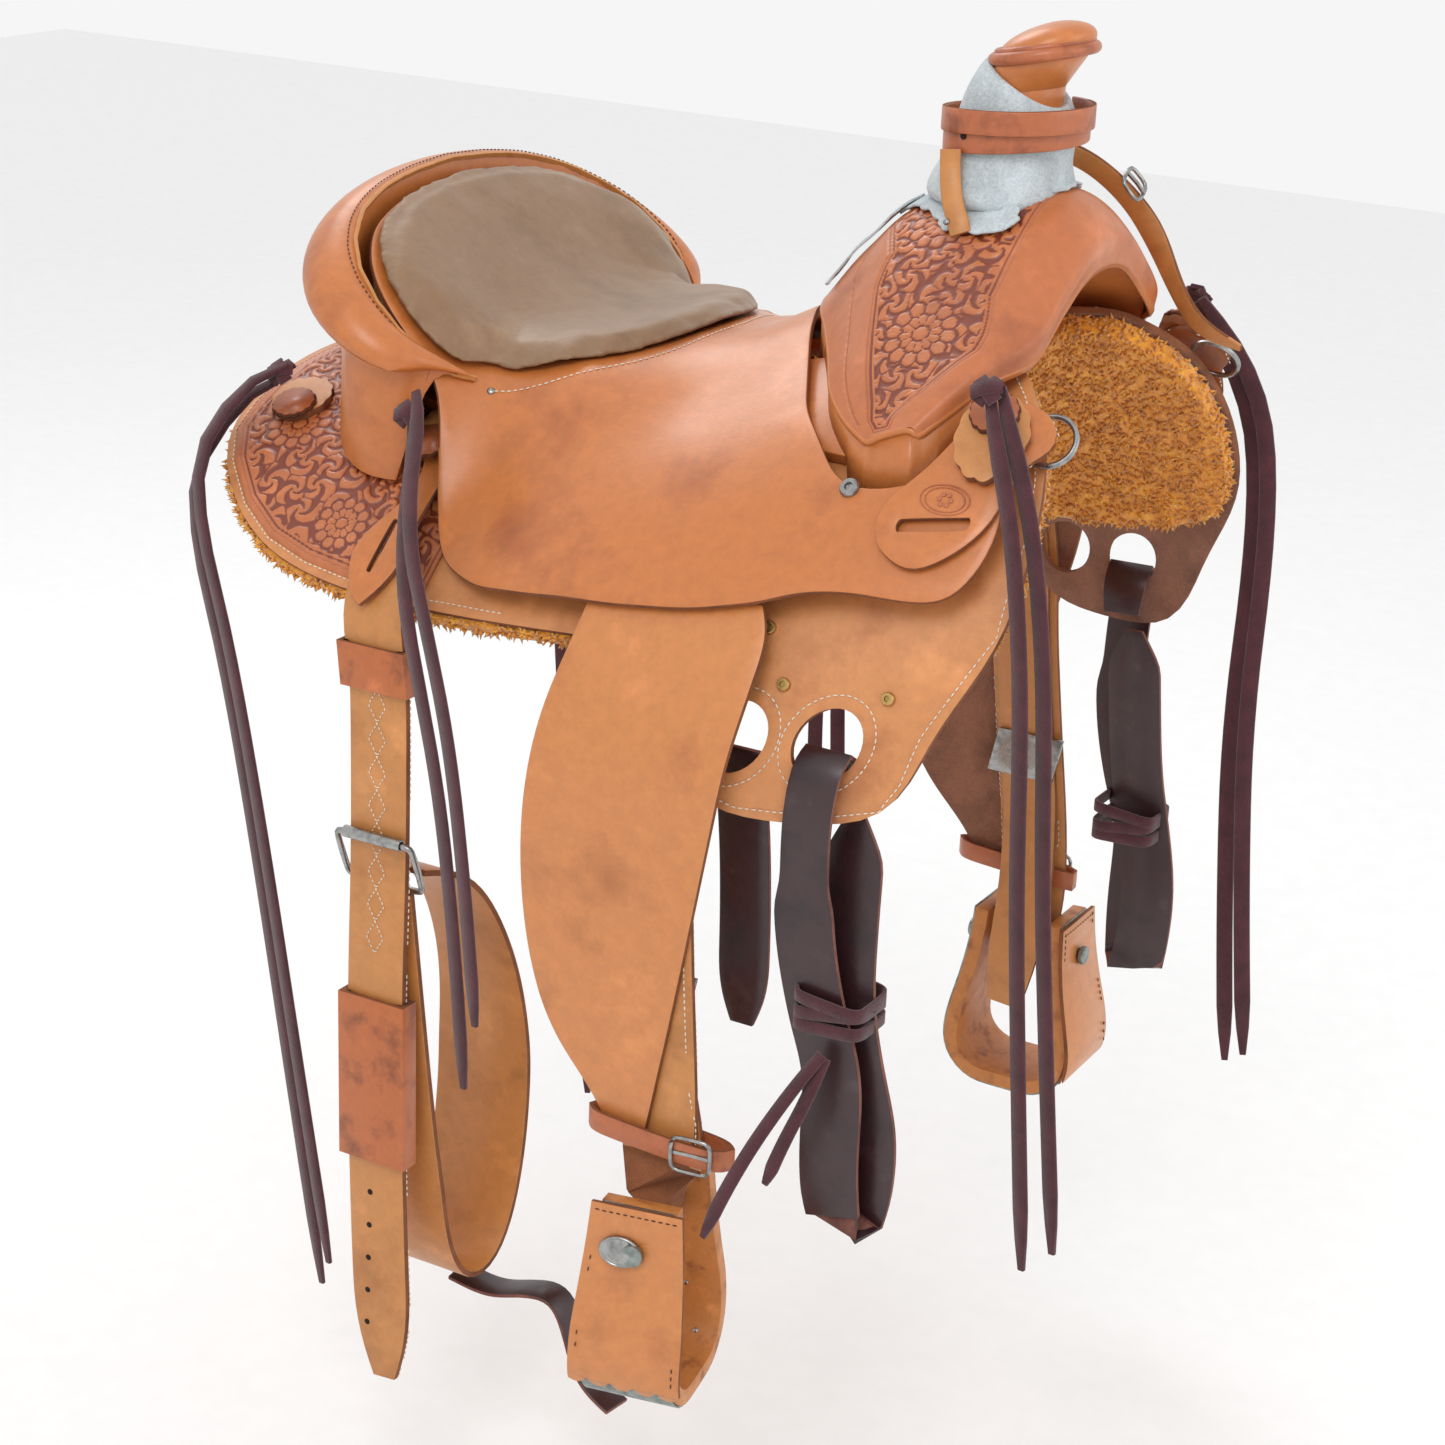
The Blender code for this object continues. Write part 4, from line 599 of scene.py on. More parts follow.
def sewing_tree():
    """Stitches laid end to end along each line of a mesh."""
    if "Sewing" in bpy.data.node_groups:
        return bpy.data.node_groups["Sewing"]
    tree, start, end = tree_of("Sewing", [("Spacing", "Float", 0.0048), ("Length", "Float", 0.0034),
                                          ("Thread", "Float", 0.0011), ("Finish", "Material", None)])
    curve = add(tree, "GeometryNodeMeshToCurve", (-700, 200), Mesh=start.outputs["Geometry"])
    even = add(tree, "GeometryNodeResampleCurve", (-500, 200), Curve=curve.outputs[0])
    even.mode = "LENGTH"
    tree.links.new(start.outputs["Spacing"], even.inputs["Length"])
    ball = add(tree, "GeometryNodeMeshIcoSphere", (-500, -100), Radius=0.5, Subdivisions=2)
    way = add(tree, "GeometryNodeInputTangent", (-500, -300))
    turn = add(tree, "FunctionNodeAlignRotationToVector", (-300, -300), Vector=way.outputs[0])
    turn.axis = "X"
    size = add(tree, "ShaderNodeCombineXYZ", (-300, -500), X=start.outputs["Length"], Y=start.outputs["Thread"],
               Z=start.outputs["Thread"])
    laid = add(tree, "GeometryNodeInstanceOnPoints", (0, 100), Points=even.outputs[0], Instance=ball.outputs[0],
               Rotation=turn.outputs[0], Scale=size.outputs[0])
    real = add(tree, "GeometryNodeRealizeInstances", (300, 100), Geometry=laid.outputs[0])
    done = add(tree, "GeometryNodeSetMaterial", (600, 100), Geometry=real.outputs[0], Material=start.outputs["Finish"])
    tree.links.new(done.outputs[0], end.inputs[0])
    return tree


def locks_tree():
    """Small cones of wool scattered over a mesh."""
    if "Locks" in bpy.data.node_groups:
        return bpy.data.node_groups["Locks"]
    tree, start, end = tree_of("Locks", [("Density", "Float", 90000.0), ("Length", "Float", 0.006),
                                         ("Width", "Float", 0.0022), ("Finish", "Material", None)])
    spread = add(tree, "GeometryNodeDistributePointsOnFaces", (-700, 200), Mesh=start.outputs["Geometry"],
                 Density=start.outputs["Density"], Seed=7)
    cone = add(tree, "GeometryNodeMeshCone", (-500, -100), Vertices=4)
    tree.links.new(start.outputs["Width"], cone.inputs["Radius Bottom"])
    tree.links.new(start.outputs["Length"], cone.inputs["Depth"])
    lean = add(tree, "FunctionNodeRandomValue", (-700, -300), data_type="FLOAT_VECTOR", Seed=3)
    lean.inputs[0].default_value = (-0.9, -0.9, -0.9)
    lean.inputs[1].default_value = (0.9, 0.9, 0.9)
    turn = add(tree, "FunctionNodeRotateRotation", (-300, 0), Rotation=spread.outputs["Rotation"])
    turn.rotation_space = "LOCAL"
    tree.links.new(lean.outputs[0], turn.inputs["Rotate By"])
    laid = add(tree, "GeometryNodeInstanceOnPoints", (0, 100), Points=spread.outputs["Points"],
               Instance=cone.outputs["Mesh"], Rotation=turn.outputs[0])
    real = add(tree, "GeometryNodeRealizeInstances", (300, 100), Geometry=laid.outputs[0])
    done = add(tree, "GeometryNodeSetMaterial", (600, 100), Geometry=real.outputs[0], Material=start.outputs["Finish"])
    tree.links.new(done.outputs[0], end.inputs[0])
    return tree


def grown(obj, tree, **inputs):
    """Runs a node tree on an object and keeps the result as its plain mesh."""
    made = obj.modifiers.new("Nodes", "NODES")
    made.node_group = tree
    for item in tree.interface.items_tree:
        if item.item_type == "SOCKET" and item.in_out == "INPUT" and item.name in inputs:
            made[item.identifier] = inputs[item.name]
    return baked(obj)


def sewn(name, body, slot, lines, finish="thread", spacing=None, length=None, thread=None):
    """Rows of stitches along lines of points."""
    sizes = bpy.context.scene.saddle_sizes
    spacing = spacing or sizes.stitch
    points, edges = [], []
    for line in lines:
        first = len(points)
        points += [tuple(map(float, p)) for p in line]
        edges += [(first + i, first + i + 1) for i in range(len(line) - 1)]
    mesh = bpy.data.meshes.new(name)
    mesh.from_pydata(points, edges, [])
    obj = bpy.data.objects.new(name, mesh)
    bpy.context.scene.collection.objects.link(obj)
    grown(obj, sewing_tree(), Spacing=spacing, Length=length or spacing * 0.72, Thread=thread or sizes.thread,
          Finish=look(finish))
    obj.data.shade_smooth()
    return wear(obj, body, slot)


# ---- carving ----
def step_up(low, high, value):
    """A smooth step from 0 at low to 1 at high."""
    share = np.clip((value - low) / (high - low), 0, 1)
    return share * share * (3 - 2 * share)


def carving(p, flowers, scrolls):
    """Height of carved flowers and leaves, from 0 in the ground to 1, at points on a flat pattern in metres."""
    scrolls = np.asarray(scrolls, float)
    away = np.linalg.norm(p[:, None, :] - scrolls[None, :, :2], axis=2)
    order = np.argsort(away, axis=1)
    first = np.take_along_axis(away, order[:, :1], 1)[:, 0]
    second = np.take_along_axis(away, order[:, 1:2], 1)[:, 0]
    mine = scrolls[order[:, 0]]
    angle = np.arctan2(p[:, 1] - mine[:, 1], p[:, 0] - mine[:, 0])
    arm = np.sin(3 * angle * mine[:, 2] + 5.2 * np.log(first / 0.004 + 0.5) + mine[:, 3])
    vein = 0.86 + 0.14 * np.cos(17 * angle * mine[:, 2] + 9 * np.log(first / 0.004 + 0.5))
    height = step_up(-0.75, 0.25, arm) * vein * (0.25 + 0.75 * step_up(0.0004, 0.0026, second - first))
    height = np.where(first < 0.0022, 0.95, height)
    for x, y, radius, petals, turn in flowers:
        r = np.hypot(p[:, 0] - x, p[:, 1] - y)
        t = np.arctan2(p[:, 1] - y, p[:, 0] - x) + turn
        wave = np.abs(np.cos(petals * t / 2))
        edge = radius * (0.80 + 0.20 * wave ** 0.7)
        inner = np.abs(np.cos(petals * (t + math.pi / petals) / 2))
        share = r / radius
        outer_petal = (0.10 + 0.90 * step_up(0.0, 0.45, wave)) * (0.80 + 0.20 * np.cos(petals * 4 * t))
        inner_petal = (0.20 + 0.80 * step_up(0.05, 0.45, inner)) * (0.85 + 0.15 * np.cos(petals * 3 * t))
        bloom = np.where(share < 0.60 - 0.08 * (1 - inner), inner_petal, outer_petal * (0.62 + 0.38 * share))
        bloom = np.where(np.abs(share - 0.60 + 0.08 * (1 - inner)) < 0.035, 0.10, bloom)
        bloom = np.where(share < 0.26, 0.12, bloom)
        bloom = np.where(share < 0.20, 0.65 + 0.35 * np.cos(share * 7), bloom)
        bloom = bloom * step_up(0.0, 0.0014, edge - r)
        height = np.where(r < edge + 0.0020, bloom, height)
    return np.clip(height, 0, 1)


def scattered(low, high, gap, seed):
    """Scroll centres spread over a rectangle: place, hand and phase."""
    random = np.random.default_rng(seed)
    made = []
    for i, x in enumerate(np.arange(low[0], high[0], gap)):
        for j, y in enumerate(np.arange(low[1], high[1], gap)):
            shift = random.uniform(-0.30, 0.30, 2) * gap + (0, gap / 2 * (i % 2))
            made.append((x + shift[0], y + shift[1], 1 if (i + j) % 2 else -1, random.uniform(0, 6.28)))
    return made


def carved_sheet(name, points, height, *looks):
    """A grid of points and its carved height as a sheet, with the height kept as an attribute."""
    rows, columns = points.shape[:2]
    index = np.arange(rows * columns).reshape(rows, columns)
    faces = np.stack([index[:-1, :-1], index[1:, :-1], index[1:, 1:], index[:-1, 1:]], axis=-1).reshape(-1, 4)
    obj = piece(name, points.reshape(-1, 3), faces, *looks)
    mark = obj.data.attributes.new("carving", "FLOAT", "POINT")
    mark.data.foreach_set("value", height.reshape(-1).astype(np.float32))
    return obj


def rounded(grid, at, axis):
    """Catmull-Rom values of a grid along one of its axes."""
    grid = np.moveaxis(grid, axis, 0)
    last = len(grid) - 1
    i = np.clip(np.floor(at).astype(int), 0, last - 1)
    f = (at - i).reshape((-1,) + (1,) * (grid.ndim - 1))
    b, c = grid[i], grid[i + 1]
    low = (i == 0).reshape(f.shape)
    high = (i == last - 1).reshape(f.shape)
    a = np.where(low, 2 * b - c, grid[np.maximum(i - 1, 0)])
    d = np.where(high, 2 * c - b, grid[np.minimum(i + 2, last)])
    made = 0.5 * (2 * b + (c - a) * f + (2 * a - 5 * b + 4 * c - d) * f * f + (3 * b - a - 3 * c + d) * f ** 3)
    return np.moveaxis(made, 0, axis)


def fork_surface(t, c):
    """Points and outward directions of the swells: t runs 0 to 12 from right to left, c runs 0 to 5 forwards."""
    rows = []
    for side, stations in ((-1, FORK[::-1]), (1, FORK[1:])):
        rows += [[(x, side * y, z) for x, z in rest] for y, *rest in stations]
    at = rounded(rounded(np.array(rows), np.asarray(t, float), 0), np.asarray(c, float), 1)
    normal = np.cross(np.gradient(at, axis=0), np.gradient(at, axis=1))
    normal /= np.linalg.norm(normal, axis=2, keepdims=True)
    middle = normal[len(at) // 2, at.shape[1] // 2]
    return at, normal if middle[2] > 0 else -normal


# The cover's foot reaches down to the seat no further than this, and not in front of the gullet's rim.
DEEPEST_FOOT = 0.075
GULLET_X = 0.262


def make_swells():
    """A fine carved face over the cover, its underside, and a rolled edge."""
    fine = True
    t = np.linspace(0, 12, 460 if fine else 260)
    c = np.linspace(0, 5, 200 if fine else 120)
    at, normal = fork_surface(t, c)
    run = np.zeros(at.shape[:2])
    run[1:] = np.cumsum(np.linalg.norm(np.diff(at, axis=0), axis=2), axis=0)
    middle = int(len(c) * 0.46)
    u = (run[:, middle] - run[len(t) // 2, middle])[:, None] + np.zeros(len(c))
    v = np.zeros(at.shape[:2])
    v[:, 1:] = np.cumsum(np.linalg.norm(np.diff(at, axis=1), axis=2), axis=1)
    v -= v[:, middle:middle + 1]
    tt, cc = np.meshgrid(np.minimum(t, 12 - t), c, indexing="ij")
    u = np.abs(u)
    rear = np.interp(tt, [0.0, 0.5, 1.0, 3.6, 4.2, 5.2, 6.0], [2.0, 1.45, 1.60, 1.66, 1.86, 1.62, 1.62])
    front = np.interp(tt, [0.0, 0.5, 1.3, 2.15, 2.45, 3.2, 6.0], [2.0, 2.2, 2.85, 3.28, 3.22, 2.96, 2.96])
    across = np.linalg.norm(np.gradient(at, axis=1), axis=2) / (c[1] - c[0])
    inside = np.minimum(cc - rear, front - cc) * across
    inside = np.minimum(inside, (tt - 0.30) * 0.030)
    place = np.stack([u, v], axis=-1).reshape(-1, 2)

    def spot(row, column):
        i, j = int(round((len(t) - 1) * row / 12)), int(round((len(c) - 1) * column / 5))
        return u[i, j], v[i, j]

    flowers = [(*spot(2.50, 2.42), 0.0285, 12, 0.2), (*spot(4.70, 2.28), 0.0265, 11, 0.5)]
    scrolls = scattered((0.0, -0.06), (0.27, 0.07), 0.021, 5)
    height = carving(place, flowers, scrolls).reshape(u.shape)
    height = np.where(inside < 0.0005, 1.0, height)
    for low, high, floor in ((-0.0032, -0.0012, 0.30), (-0.0062, -0.0048, 0.50)):
        line = step_up(low - 0.0004, low + 0.0002, inside) * (1 - step_up(high - 0.0002, high + 0.0004, inside))
        height = np.minimum(height, 1 - line * (1 - floor))
    rope = np.interp(tt, [0.0, 1.0, 4.4, 4.9], [0.35, 0.42, 0.85, 1.1])
    line = np.abs((cc - rope) * across) < 0.0011
    height = np.where(line & (tt > 0.6) & (tt < 4.8), 0.55, height)
    depth = bpy.context.scene.saddle_sizes.carving
    at = at + normal * (0.0006 - depth * (1 - height))[..., None]
    face = carved_sheet("swell_face", at, height, look("carved"))
    built = bmesh.new()
    built.from_mesh(face.data)
    if sum(f.normal.z for f in built.faces) < 0:
        bmesh.ops.reverse_faces(built, faces=built.faces)
    built.to_mesh(face.data)
    built.free()
    wear(face, "saddle", "leather_tan", "swell_cover")
    low_t, low_c = np.linspace(0, 12, 61), np.linspace(0, 5, 31)
    skin, normal = fork_surface(low_t, low_c)
    upper, lower = skin - normal * 0.0014, skin - normal * 0.0045
    rows, columns = skin.shape[:2]
    index = np.arange(rows * columns).reshape(rows, columns)
    quads = np.stack([index[:-1, :-1], index[1:, :-1], index[1:, 1:], index[:-1, 1:]], axis=-1).reshape(-1, 4)
    ring = list(index[0, :]) + list(index[1:, -1]) + list(index[-1, :-1][::-1]) + list(index[1:-1, 0][::-1])
    count = rows * columns
    faces = list(quads) + list(quads[:, ::-1] + count)
    faces += [(a, b, b + count, a + count) for a, b in zip(ring, ring[1:] + ring[:1])]
    under = piece("swell_underside", np.concatenate([upper.reshape(-1, 3), lower.reshape(-1, 3)]), faces, look("flesh"))
    outward(under)
    wear(under, "saddle", "leather_tan", "swell_cover")
    edge = np.concatenate([skin[0], skin[1:, -1], skin[-1, :-1][::-1], skin[1:-1, 0][::-1]])
    inner = np.concatenate([normal[0], normal[1:, -1], normal[-1, :-1][::-1], normal[1:-1, 0][::-1]])
    edge = edge - inner * 0.0020
    ground = surface("seat_leather", "skirt_left", "skirt_right", "tree_bar_left", "tree_bar_right")
    top, foot = [], []
    for p in map(Vector, along(edge, 0.004, closed=True)[:-1]):
        start = p - Vector((0, 0, 0.004))
        hit = ground.ray_cast(start, Vector((0, 0, -1)), DEEPEST_FOOT)
        top.append(p)
        foot.append(hit[0] - Vector((0, 0, 0.002)) if hit[0] is not None and p.x < GULLET_X else start)
    ring = len(top)
    faces = [(i, (i + 1) % ring, ring + (i + 1) % ring, ring + i) for i in range(ring)]
    wall = piece("swell_foot", top + foot, faces, look("tan"))
    skin_of = wall.modifiers.new("Wall", "SOLIDIFY")
    skin_of.thickness = 0.0022
    skin_of.offset = 0.0
    baked(wall)
    outward(wall)
    wall.data.shade_smooth()
    wear(wall, "saddle", "leather_tan", "swell_cover")
    welt = hoop("swell_edge", edge, 0.0029, look("tan"))
    wear(welt, "saddle", "leather_tan", "swell_cover")


def hoop(name, path, radius, finish, sides=8):
    """A round cord closed on itself."""
    path = along(path, 0.004, closed=True)[:-1]
    path = (np.roll(path, 1, axis=0) + 2 * path + np.roll(path, -1, axis=0)) / 4
    ahead = np.roll(path, -1, axis=0) - np.roll(path, 1, axis=0)
    points = []
    up = Vector((0, 0, 1))
    for p, t in zip(path, ahead):
        t = Vector(t).normalized()
        a = t.cross(up if abs(t.z) < 0.9 else Vector((1, 0, 0))).normalized()
        b = t.cross(a)
        points += [Vector(p) + (a * math.cos(q) + b * math.sin(q)) * radius
                   for q in (2 * math.pi * i / sides for i in range(sides))]
    n = len(path)
    faces = [(i * sides + j, i * sides + (j + 1) % sides, ((i + 1) % n) * sides + (j + 1) % sides,
              ((i + 1) % n) * sides + j) for i in range(n) for j in range(sides)]
    obj = piece(name, points, faces, finish)
    outward(obj)
    return obj


def carved_skirt(side, word):
    """The carved corner of a skirt, behind the jockey."""
    step = 0.0013
    xs = np.arange(-0.348, -0.100, step)
    ss = np.arange(0.050, 0.298, step)
    outline = along(SKIRT_EDGE, 0.004, closed=True)[:-1]
    grid_x, grid_s = np.meshgrid(xs, ss, indexing="ij")
    flat = np.stack([grid_x, grid_s], axis=-1)
    p = flat.reshape(-1, 2)
    a, b = outline, np.roll(outline, -1, axis=0)
    cut = b - a
    gap = np.full(len(p), 9.0)
    inside = np.zeros(len(p), bool)
    for i in range(len(a)):
        share = np.clip(((p - a[i]) @ cut[i]) / (cut[i] @ cut[i]), 0, 1)
        gap = np.minimum(gap, np.linalg.norm(p - a[i] - share[:, None] * cut[i], axis=1))
        if cut[i][1]:
            crosses = (a[i][1] > p[:, 1]) != (b[i][1] > p[:, 1])
            inside ^= crosses & (p[:, 0] < cut[i][0] * (p[:, 1] - a[i][1]) / cut[i][1] + a[i][0])
    gap = np.where(inside, gap, -gap)
    field = np.minimum(gap - 0.0185, np.minimum(-0.108 - p[:, 0], p[:, 1] - 0.058))
    flowers = [(-0.285, 0.165, 0.026, 12, 0.3), (-0.195, 0.243, 0.022, 11, 0.0), (-0.245, 0.090, 0.020, 10, 0.4),
               (-0.130, 0.262, 0.013, 9, 0.0)]
    height = carving(p, flowers, scattered((-0.36, 0.04), (-0.09, 0.31), 0.022, 9))
    height = np.where(field < 0.0005, 1.0, height)
    for low, high, floor in ((-0.0032, -0.0012, 0.25), (-0.0064, -0.0050, 0.45)):
        line = step_up(low - 0.0003, low + 0.0003, field) * (1 - step_up(high - 0.0003, high + 0.0003, field))
        height = np.minimum(height, 1 - line * (1 - floor))
    depth = bpy.context.scene.saddle_sizes.carving
    lift = 0.0003 + depth * height - 0.0030 * (1 - step_up(-0.0125, -0.0080, field))
    at = np.array([bed(x, s, SKIRT_TOP + h, side) for (x, s), h in zip(p, lift)])
    sheet = carved_sheet("carved_corner_" + word, at.reshape(flat.shape[:2] + (3,)), height, look("carved"))
    built = bmesh.new()
    built.from_mesh(sheet.data)
    built.verts.ensure_lookup_table()
    gone = [v for v, f, q in zip(built.verts, field, p) if f < -0.0118 or q[0] > -0.1005 or q[1] < 0.0505]
    bmesh.ops.delete(built, geom=gone, context="VERTS")
    built.normal_update()
    if sum(f.normal.z for f in built.faces) < 0:
        bmesh.ops.reverse_faces(built, faces=built.faces)
    built.to_mesh(sheet.data)
    built.free()
    wear(sheet, "saddle", "leather_tan")


# ---- edges and what follows them ----
def rim_lines(node, thick=0.0075, side=None, face_up=None):
    """Lines of points round the outer face of a thin solid, with the tree of its faces."""
    built = bmesh.new()
    built.from_mesh(frame["nodes"][node].data)
    bmesh.ops.remove_doubles(built, verts=built.verts, dist=0.00002)
    built.normal_update()
    tree = BVHTree.FromBMesh(built)
    middle = sum((v.co for v in built.verts), Vector()) / len(built.verts)
    toward = face_up or Vector((0, side or (1 if middle.y > 0 else -1), 0.25))
    wall = {}
    for face in built.faces:
        at = face.calc_center_median()
        hit = tree.ray_cast(at - face.normal * 0.0002, -face.normal, 0.3)
        wall[face] = hit[3] is None or hit[3] > thick
    links = {}
    for edge in built.edges:
        pair = edge.link_faces
        if len(pair) != 2 or wall[pair[0]] == wall[pair[1]]:
            continue
        face = pair[1] if wall[pair[0]] else pair[0]
        if face.normal.dot(toward) > 0:
            a, b = edge.verts
            links.setdefault(a.index, []).append(b.index)
            links.setdefault(b.index, []).append(a.index)
    built.verts.ensure_lookup_table()
    lines, seen = [], set()
    for start in sorted(links, key=lambda k: (len(links[k]) != 1, k)):
        if start in seen:
            continue
        chain = [start]
        seen.add(start)
        while True:
            ahead = [k for k in links[chain[-1]] if k not in seen]
            if not ahead:
                break
            chain.append(ahead[0])
            seen.add(ahead[0])
        closed = len(chain) > 3 and chain[0] in links[chain[-1]]
        if len(chain) > 3:
            lines.append((np.array([built.verts[k].co for k in chain]), closed))
    built.free()
    return lines, tree


def edge_rows(node, *insets, thick=0.0075, side=None, face_up=None, shortest=0.05, keep=None, lift=0.0002):
    """Rows that follow a thin solid's edge, each a distance in from it."""
    lines, tree = rim_lines(node, thick, side, face_up)
    made = []
    for line, closed in lines:
        line = along(line, 0.003, closed)
        if closed:
            line = line[:-1]
        if len(line) * 0.003 < shortest:
            continue
        before = np.roll(line, 2, axis=0) if closed else line[np.maximum(np.arange(len(line)) - 2, 0)]
        after = np.roll(line, -2, axis=0) if closed else line[np.minimum(np.arange(len(line)) + 2, len(line) - 1)]
        ways = after - before
        for by in insets:
            tries = []
            for sign in (1, -1):
                row, miss = [], 0.0
                for p, way in zip(line, ways):
                    found = tree.find_nearest(Vector(p))
                    inward = found[1].cross(Vector(way)).normalized() * sign
                    spot = tree.find_nearest(Vector(p) + inward * by - found[1] * 0.0003)
                    miss += min((Vector(p) + inward * by - spot[0]).length, by)
                    row.append((spot[0] + spot[1] * lift, spot[0]))
                tries.append((miss, row))
            row = min(tries, key=lambda k: k[0])[1]
            part = []
            for spot, base in row:
                near = np.min(np.linalg.norm(line - np.array(base), axis=1))
                good = near > by * 0.86 and (keep is None or keep(spot))
                if good:
                    part.append(tuple(spot))
                if (not good) and part:
                    if len(part) > 3:
                        made.append(part)
                    part = []
            if closed and part and len(part) == len(row):
                part.append(part[0])
            if len(part) > 3:
                made.append(part)
    return [along(part, 0.003) for part in made]


def sew_edges(node, *insets, body=None, finish="thread", slot="leather_tan", spacing=None, **where):
    """Stitching along the edges of a node."""
    rows = edge_rows(node, *insets, **where)
    if rows:
        return sewn(node + "_stitches", body or body_of(node), slot, rows, finish, spacing)


# Depth to which a stud's foot is sunk, so that it stands on a curved face.
STUD_SINK = 0.001


def studs(name, body, slot, spots, radius, height, finish, sides=14, hollow=False):
    """Domed heads of rivets, screws or nails. Each spot is a place and a direction."""
    dome = [(radius, -STUD_SINK), (radius, height * 0.35), (radius * 0.82, height * 0.75), (radius * 0.45, height * 0.97),
            (0.0, height)]
    if hollow:
        dome = [(radius, -STUD_SINK), (radius, height * 0.6), (radius * 0.86, height), (radius * 0.45, height),
                (radius * 0.38, height * 0.35), (0.0, height * 0.3)]
    parts = [turned(name + str(i), place, way, dome, look(finish), sides) for i, (place, way) in enumerate(spots)]
    return wear(joined(name, parts), body, slot)


def on_node(node, start, way):
    """The point of a node's face met by a ray, and the face's direction."""
    hit = surface(node).ray_cast(Vector(start), Vector(way))
    if hit[0] is None:
        raise RuntimeError("nothing to stand on: " + node)
    return hit[0], hit[1]


# ---- pieces ----
def mirrored(line, side):
    """A line given for the left side, on either side."""
    return np.array([(x, side * y, z) for x, y, z in line])


def on_skirt(points, side, lift=0.0):
    """Points (x, s) laid on the skirt's face, a lift above it."""
    return [bed(x, s, SKIRT_TOP + lift, side) for x, s in points]


def along(points, step=0.004, closed=False):
    """A line resampled to even steps."""
    points = np.array(list(points) + ([points[0]] if closed else []), float)
    run = np.concatenate([[0], np.cumsum(np.linalg.norm(np.diff(points, axis=0), axis=1))])
    at = np.linspace(0, run[-1], max(int(run[-1] / step), 2))
    return np.stack([np.interp(at, run, points[:, i]) for i in range(points.shape[1])], axis=1)


def inset(outline, by):
    """A closed outline, in two coordinates, moved inwards."""
    ring = along(outline, 0.003, closed=True)[:-1]
    before, after = np.roll(ring, 3, axis=0), np.roll(ring, -3, axis=0)
    way = after - before
    way /= np.linalg.norm(way, axis=1)[:, None]
    area = np.sum(ring[:, 0] * np.roll(ring[:, 1], -1) - ring[:, 1] * np.roll(ring[:, 0], -1))
    turn = np.stack([-way[:, 1], way[:, 0]], axis=1) * (1 if area > 0 else -1)
    moved = ring + turn * by
    gap = np.array([distance_to(p, ring) for p in moved])
    return moved[gap > by * 0.93]


def distance_to(point, ring):
    """Distance from a point to a closed outline."""
    a, b = ring, np.roll(ring, -1, axis=0)
    edge = b - a
    share = np.clip(np.sum((point - a) * edge, axis=1) / np.maximum(np.sum(edge * edge, axis=1), 1e-12), 0, 1)
    return float(np.min(np.linalg.norm(point - a - edge * share[:, None], axis=1)))


def surface(*nodes):
    """One tree of the solids' faces, to lay things on."""
    points, faces = [], []
    for node in nodes:
        mesh = frame["nodes"][node].data
        first = len(points)
        points += [v.co.copy() for v in mesh.vertices]
        faces += [[first + i for i in p.vertices] for p in mesh.polygons]
    return BVHTree.FromPolygons(points, faces)


def shown_surface(*objs):
    """One tree of finished pieces' faces, to lay things on."""
    points, faces = [], []
    for obj in objs:
        first = len(points)
        points += [v.co.copy() for v in obj.data.vertices]
        faces += [[first + i for i in p.vertices] for p in obj.data.polygons]
    return BVHTree.FromPolygons(points, faces)


class SADDLE_OT_lining(bpy.types.Operator):
    """Fleece under each skirt."""

    bl_idname = "saddle.lining"
    bl_label = "Fleece lining"

    def execute(self, context):
        for word in ("right", "left"):
            make_fleece("fleece_" + word)
        return {"FINISHED"}


class SADDLE_OT_skirts(bpy.types.Operator):
    """Skirts with a carved border, edge stitching and stitched rigging holes."""

    bl_idname = "saddle.skirts"
    bl_label = "Skirts"

    def execute(self, context):
        for side, word in ((-1, "right"), (1, "left")):
            make_skirt(side, word)
        return {"FINISHED"}


class SADDLE_OT_seat(bpy.types.Operator):
    """Seat leather with its jockeys, the padded inlay and their stitching."""

    bl_idname = "saddle.seat"
    bl_label = "Seat"

    def execute(self, context):
        make_seat()
        return {"FINISHED"}


class SADDLE_OT_cantle(bpy.types.Operator):
    """Rolled cantle cover, and the tree under it."""

    bl_idname = "saddle.cantle"
    bl_label = "Cantle"

    def execute(self, context):
        refined("cantle_cover", look("tan"), rim=look("tan"), levels=2, thick=0.001)
        make_cantle_seam()
        refined("tree_cantle", look("tree"), levels=1, slot="tree")
        return {"FINISHED"}


class SADDLE_OT_swells(bpy.types.Operator):
    """Carved cover of the swells, on the leather-covered fork and bars."""

    bl_idname = "saddle.swells"
    bl_label = "Swells and tree"

    def execute(self, context):
        make_swells()
        refined("tree_fork", look("tan"), levels=1)
        for node in ("tree_bar_left", "tree_bar_right"):
            refined(node, look("tan"), levels=1)
        return {"FINISHED"}


class SADDLE_OT_horn(bpy.types.Operator):
    """Horn: suede wrap, domed cap, holed strap and the rope strap."""

    bl_idname = "saddle.horn"
    bl_label = "Horn"

    def execute(self, context):
        make_horn()
        return {"FINISHED"}


class SADDLE_OT_rigging(bpy.types.Operator):
    """Carrier plates, rings and the scalloped double rosettes."""

    bl_idname = "saddle.rigging"
    bl_label = "Rigging and rosettes"

    def execute(self, context):
        for side, word in ((-1, "right"), (1, "left")):
            make_rigging(side, word)
        return {"FINISHED"}


class SADDLE_OT_fenders(bpy.types.Operator):
    """Fenders, stirrup leathers, their buckles and hobble straps."""

    bl_idname = "saddle.fenders"
    bl_label = "Fenders and stirrup leathers"

    def execute(self, context):
        for side, word in ((-1, "right"), (1, "left")):
            make_fender(side, word)
        return {"FINISHED"}


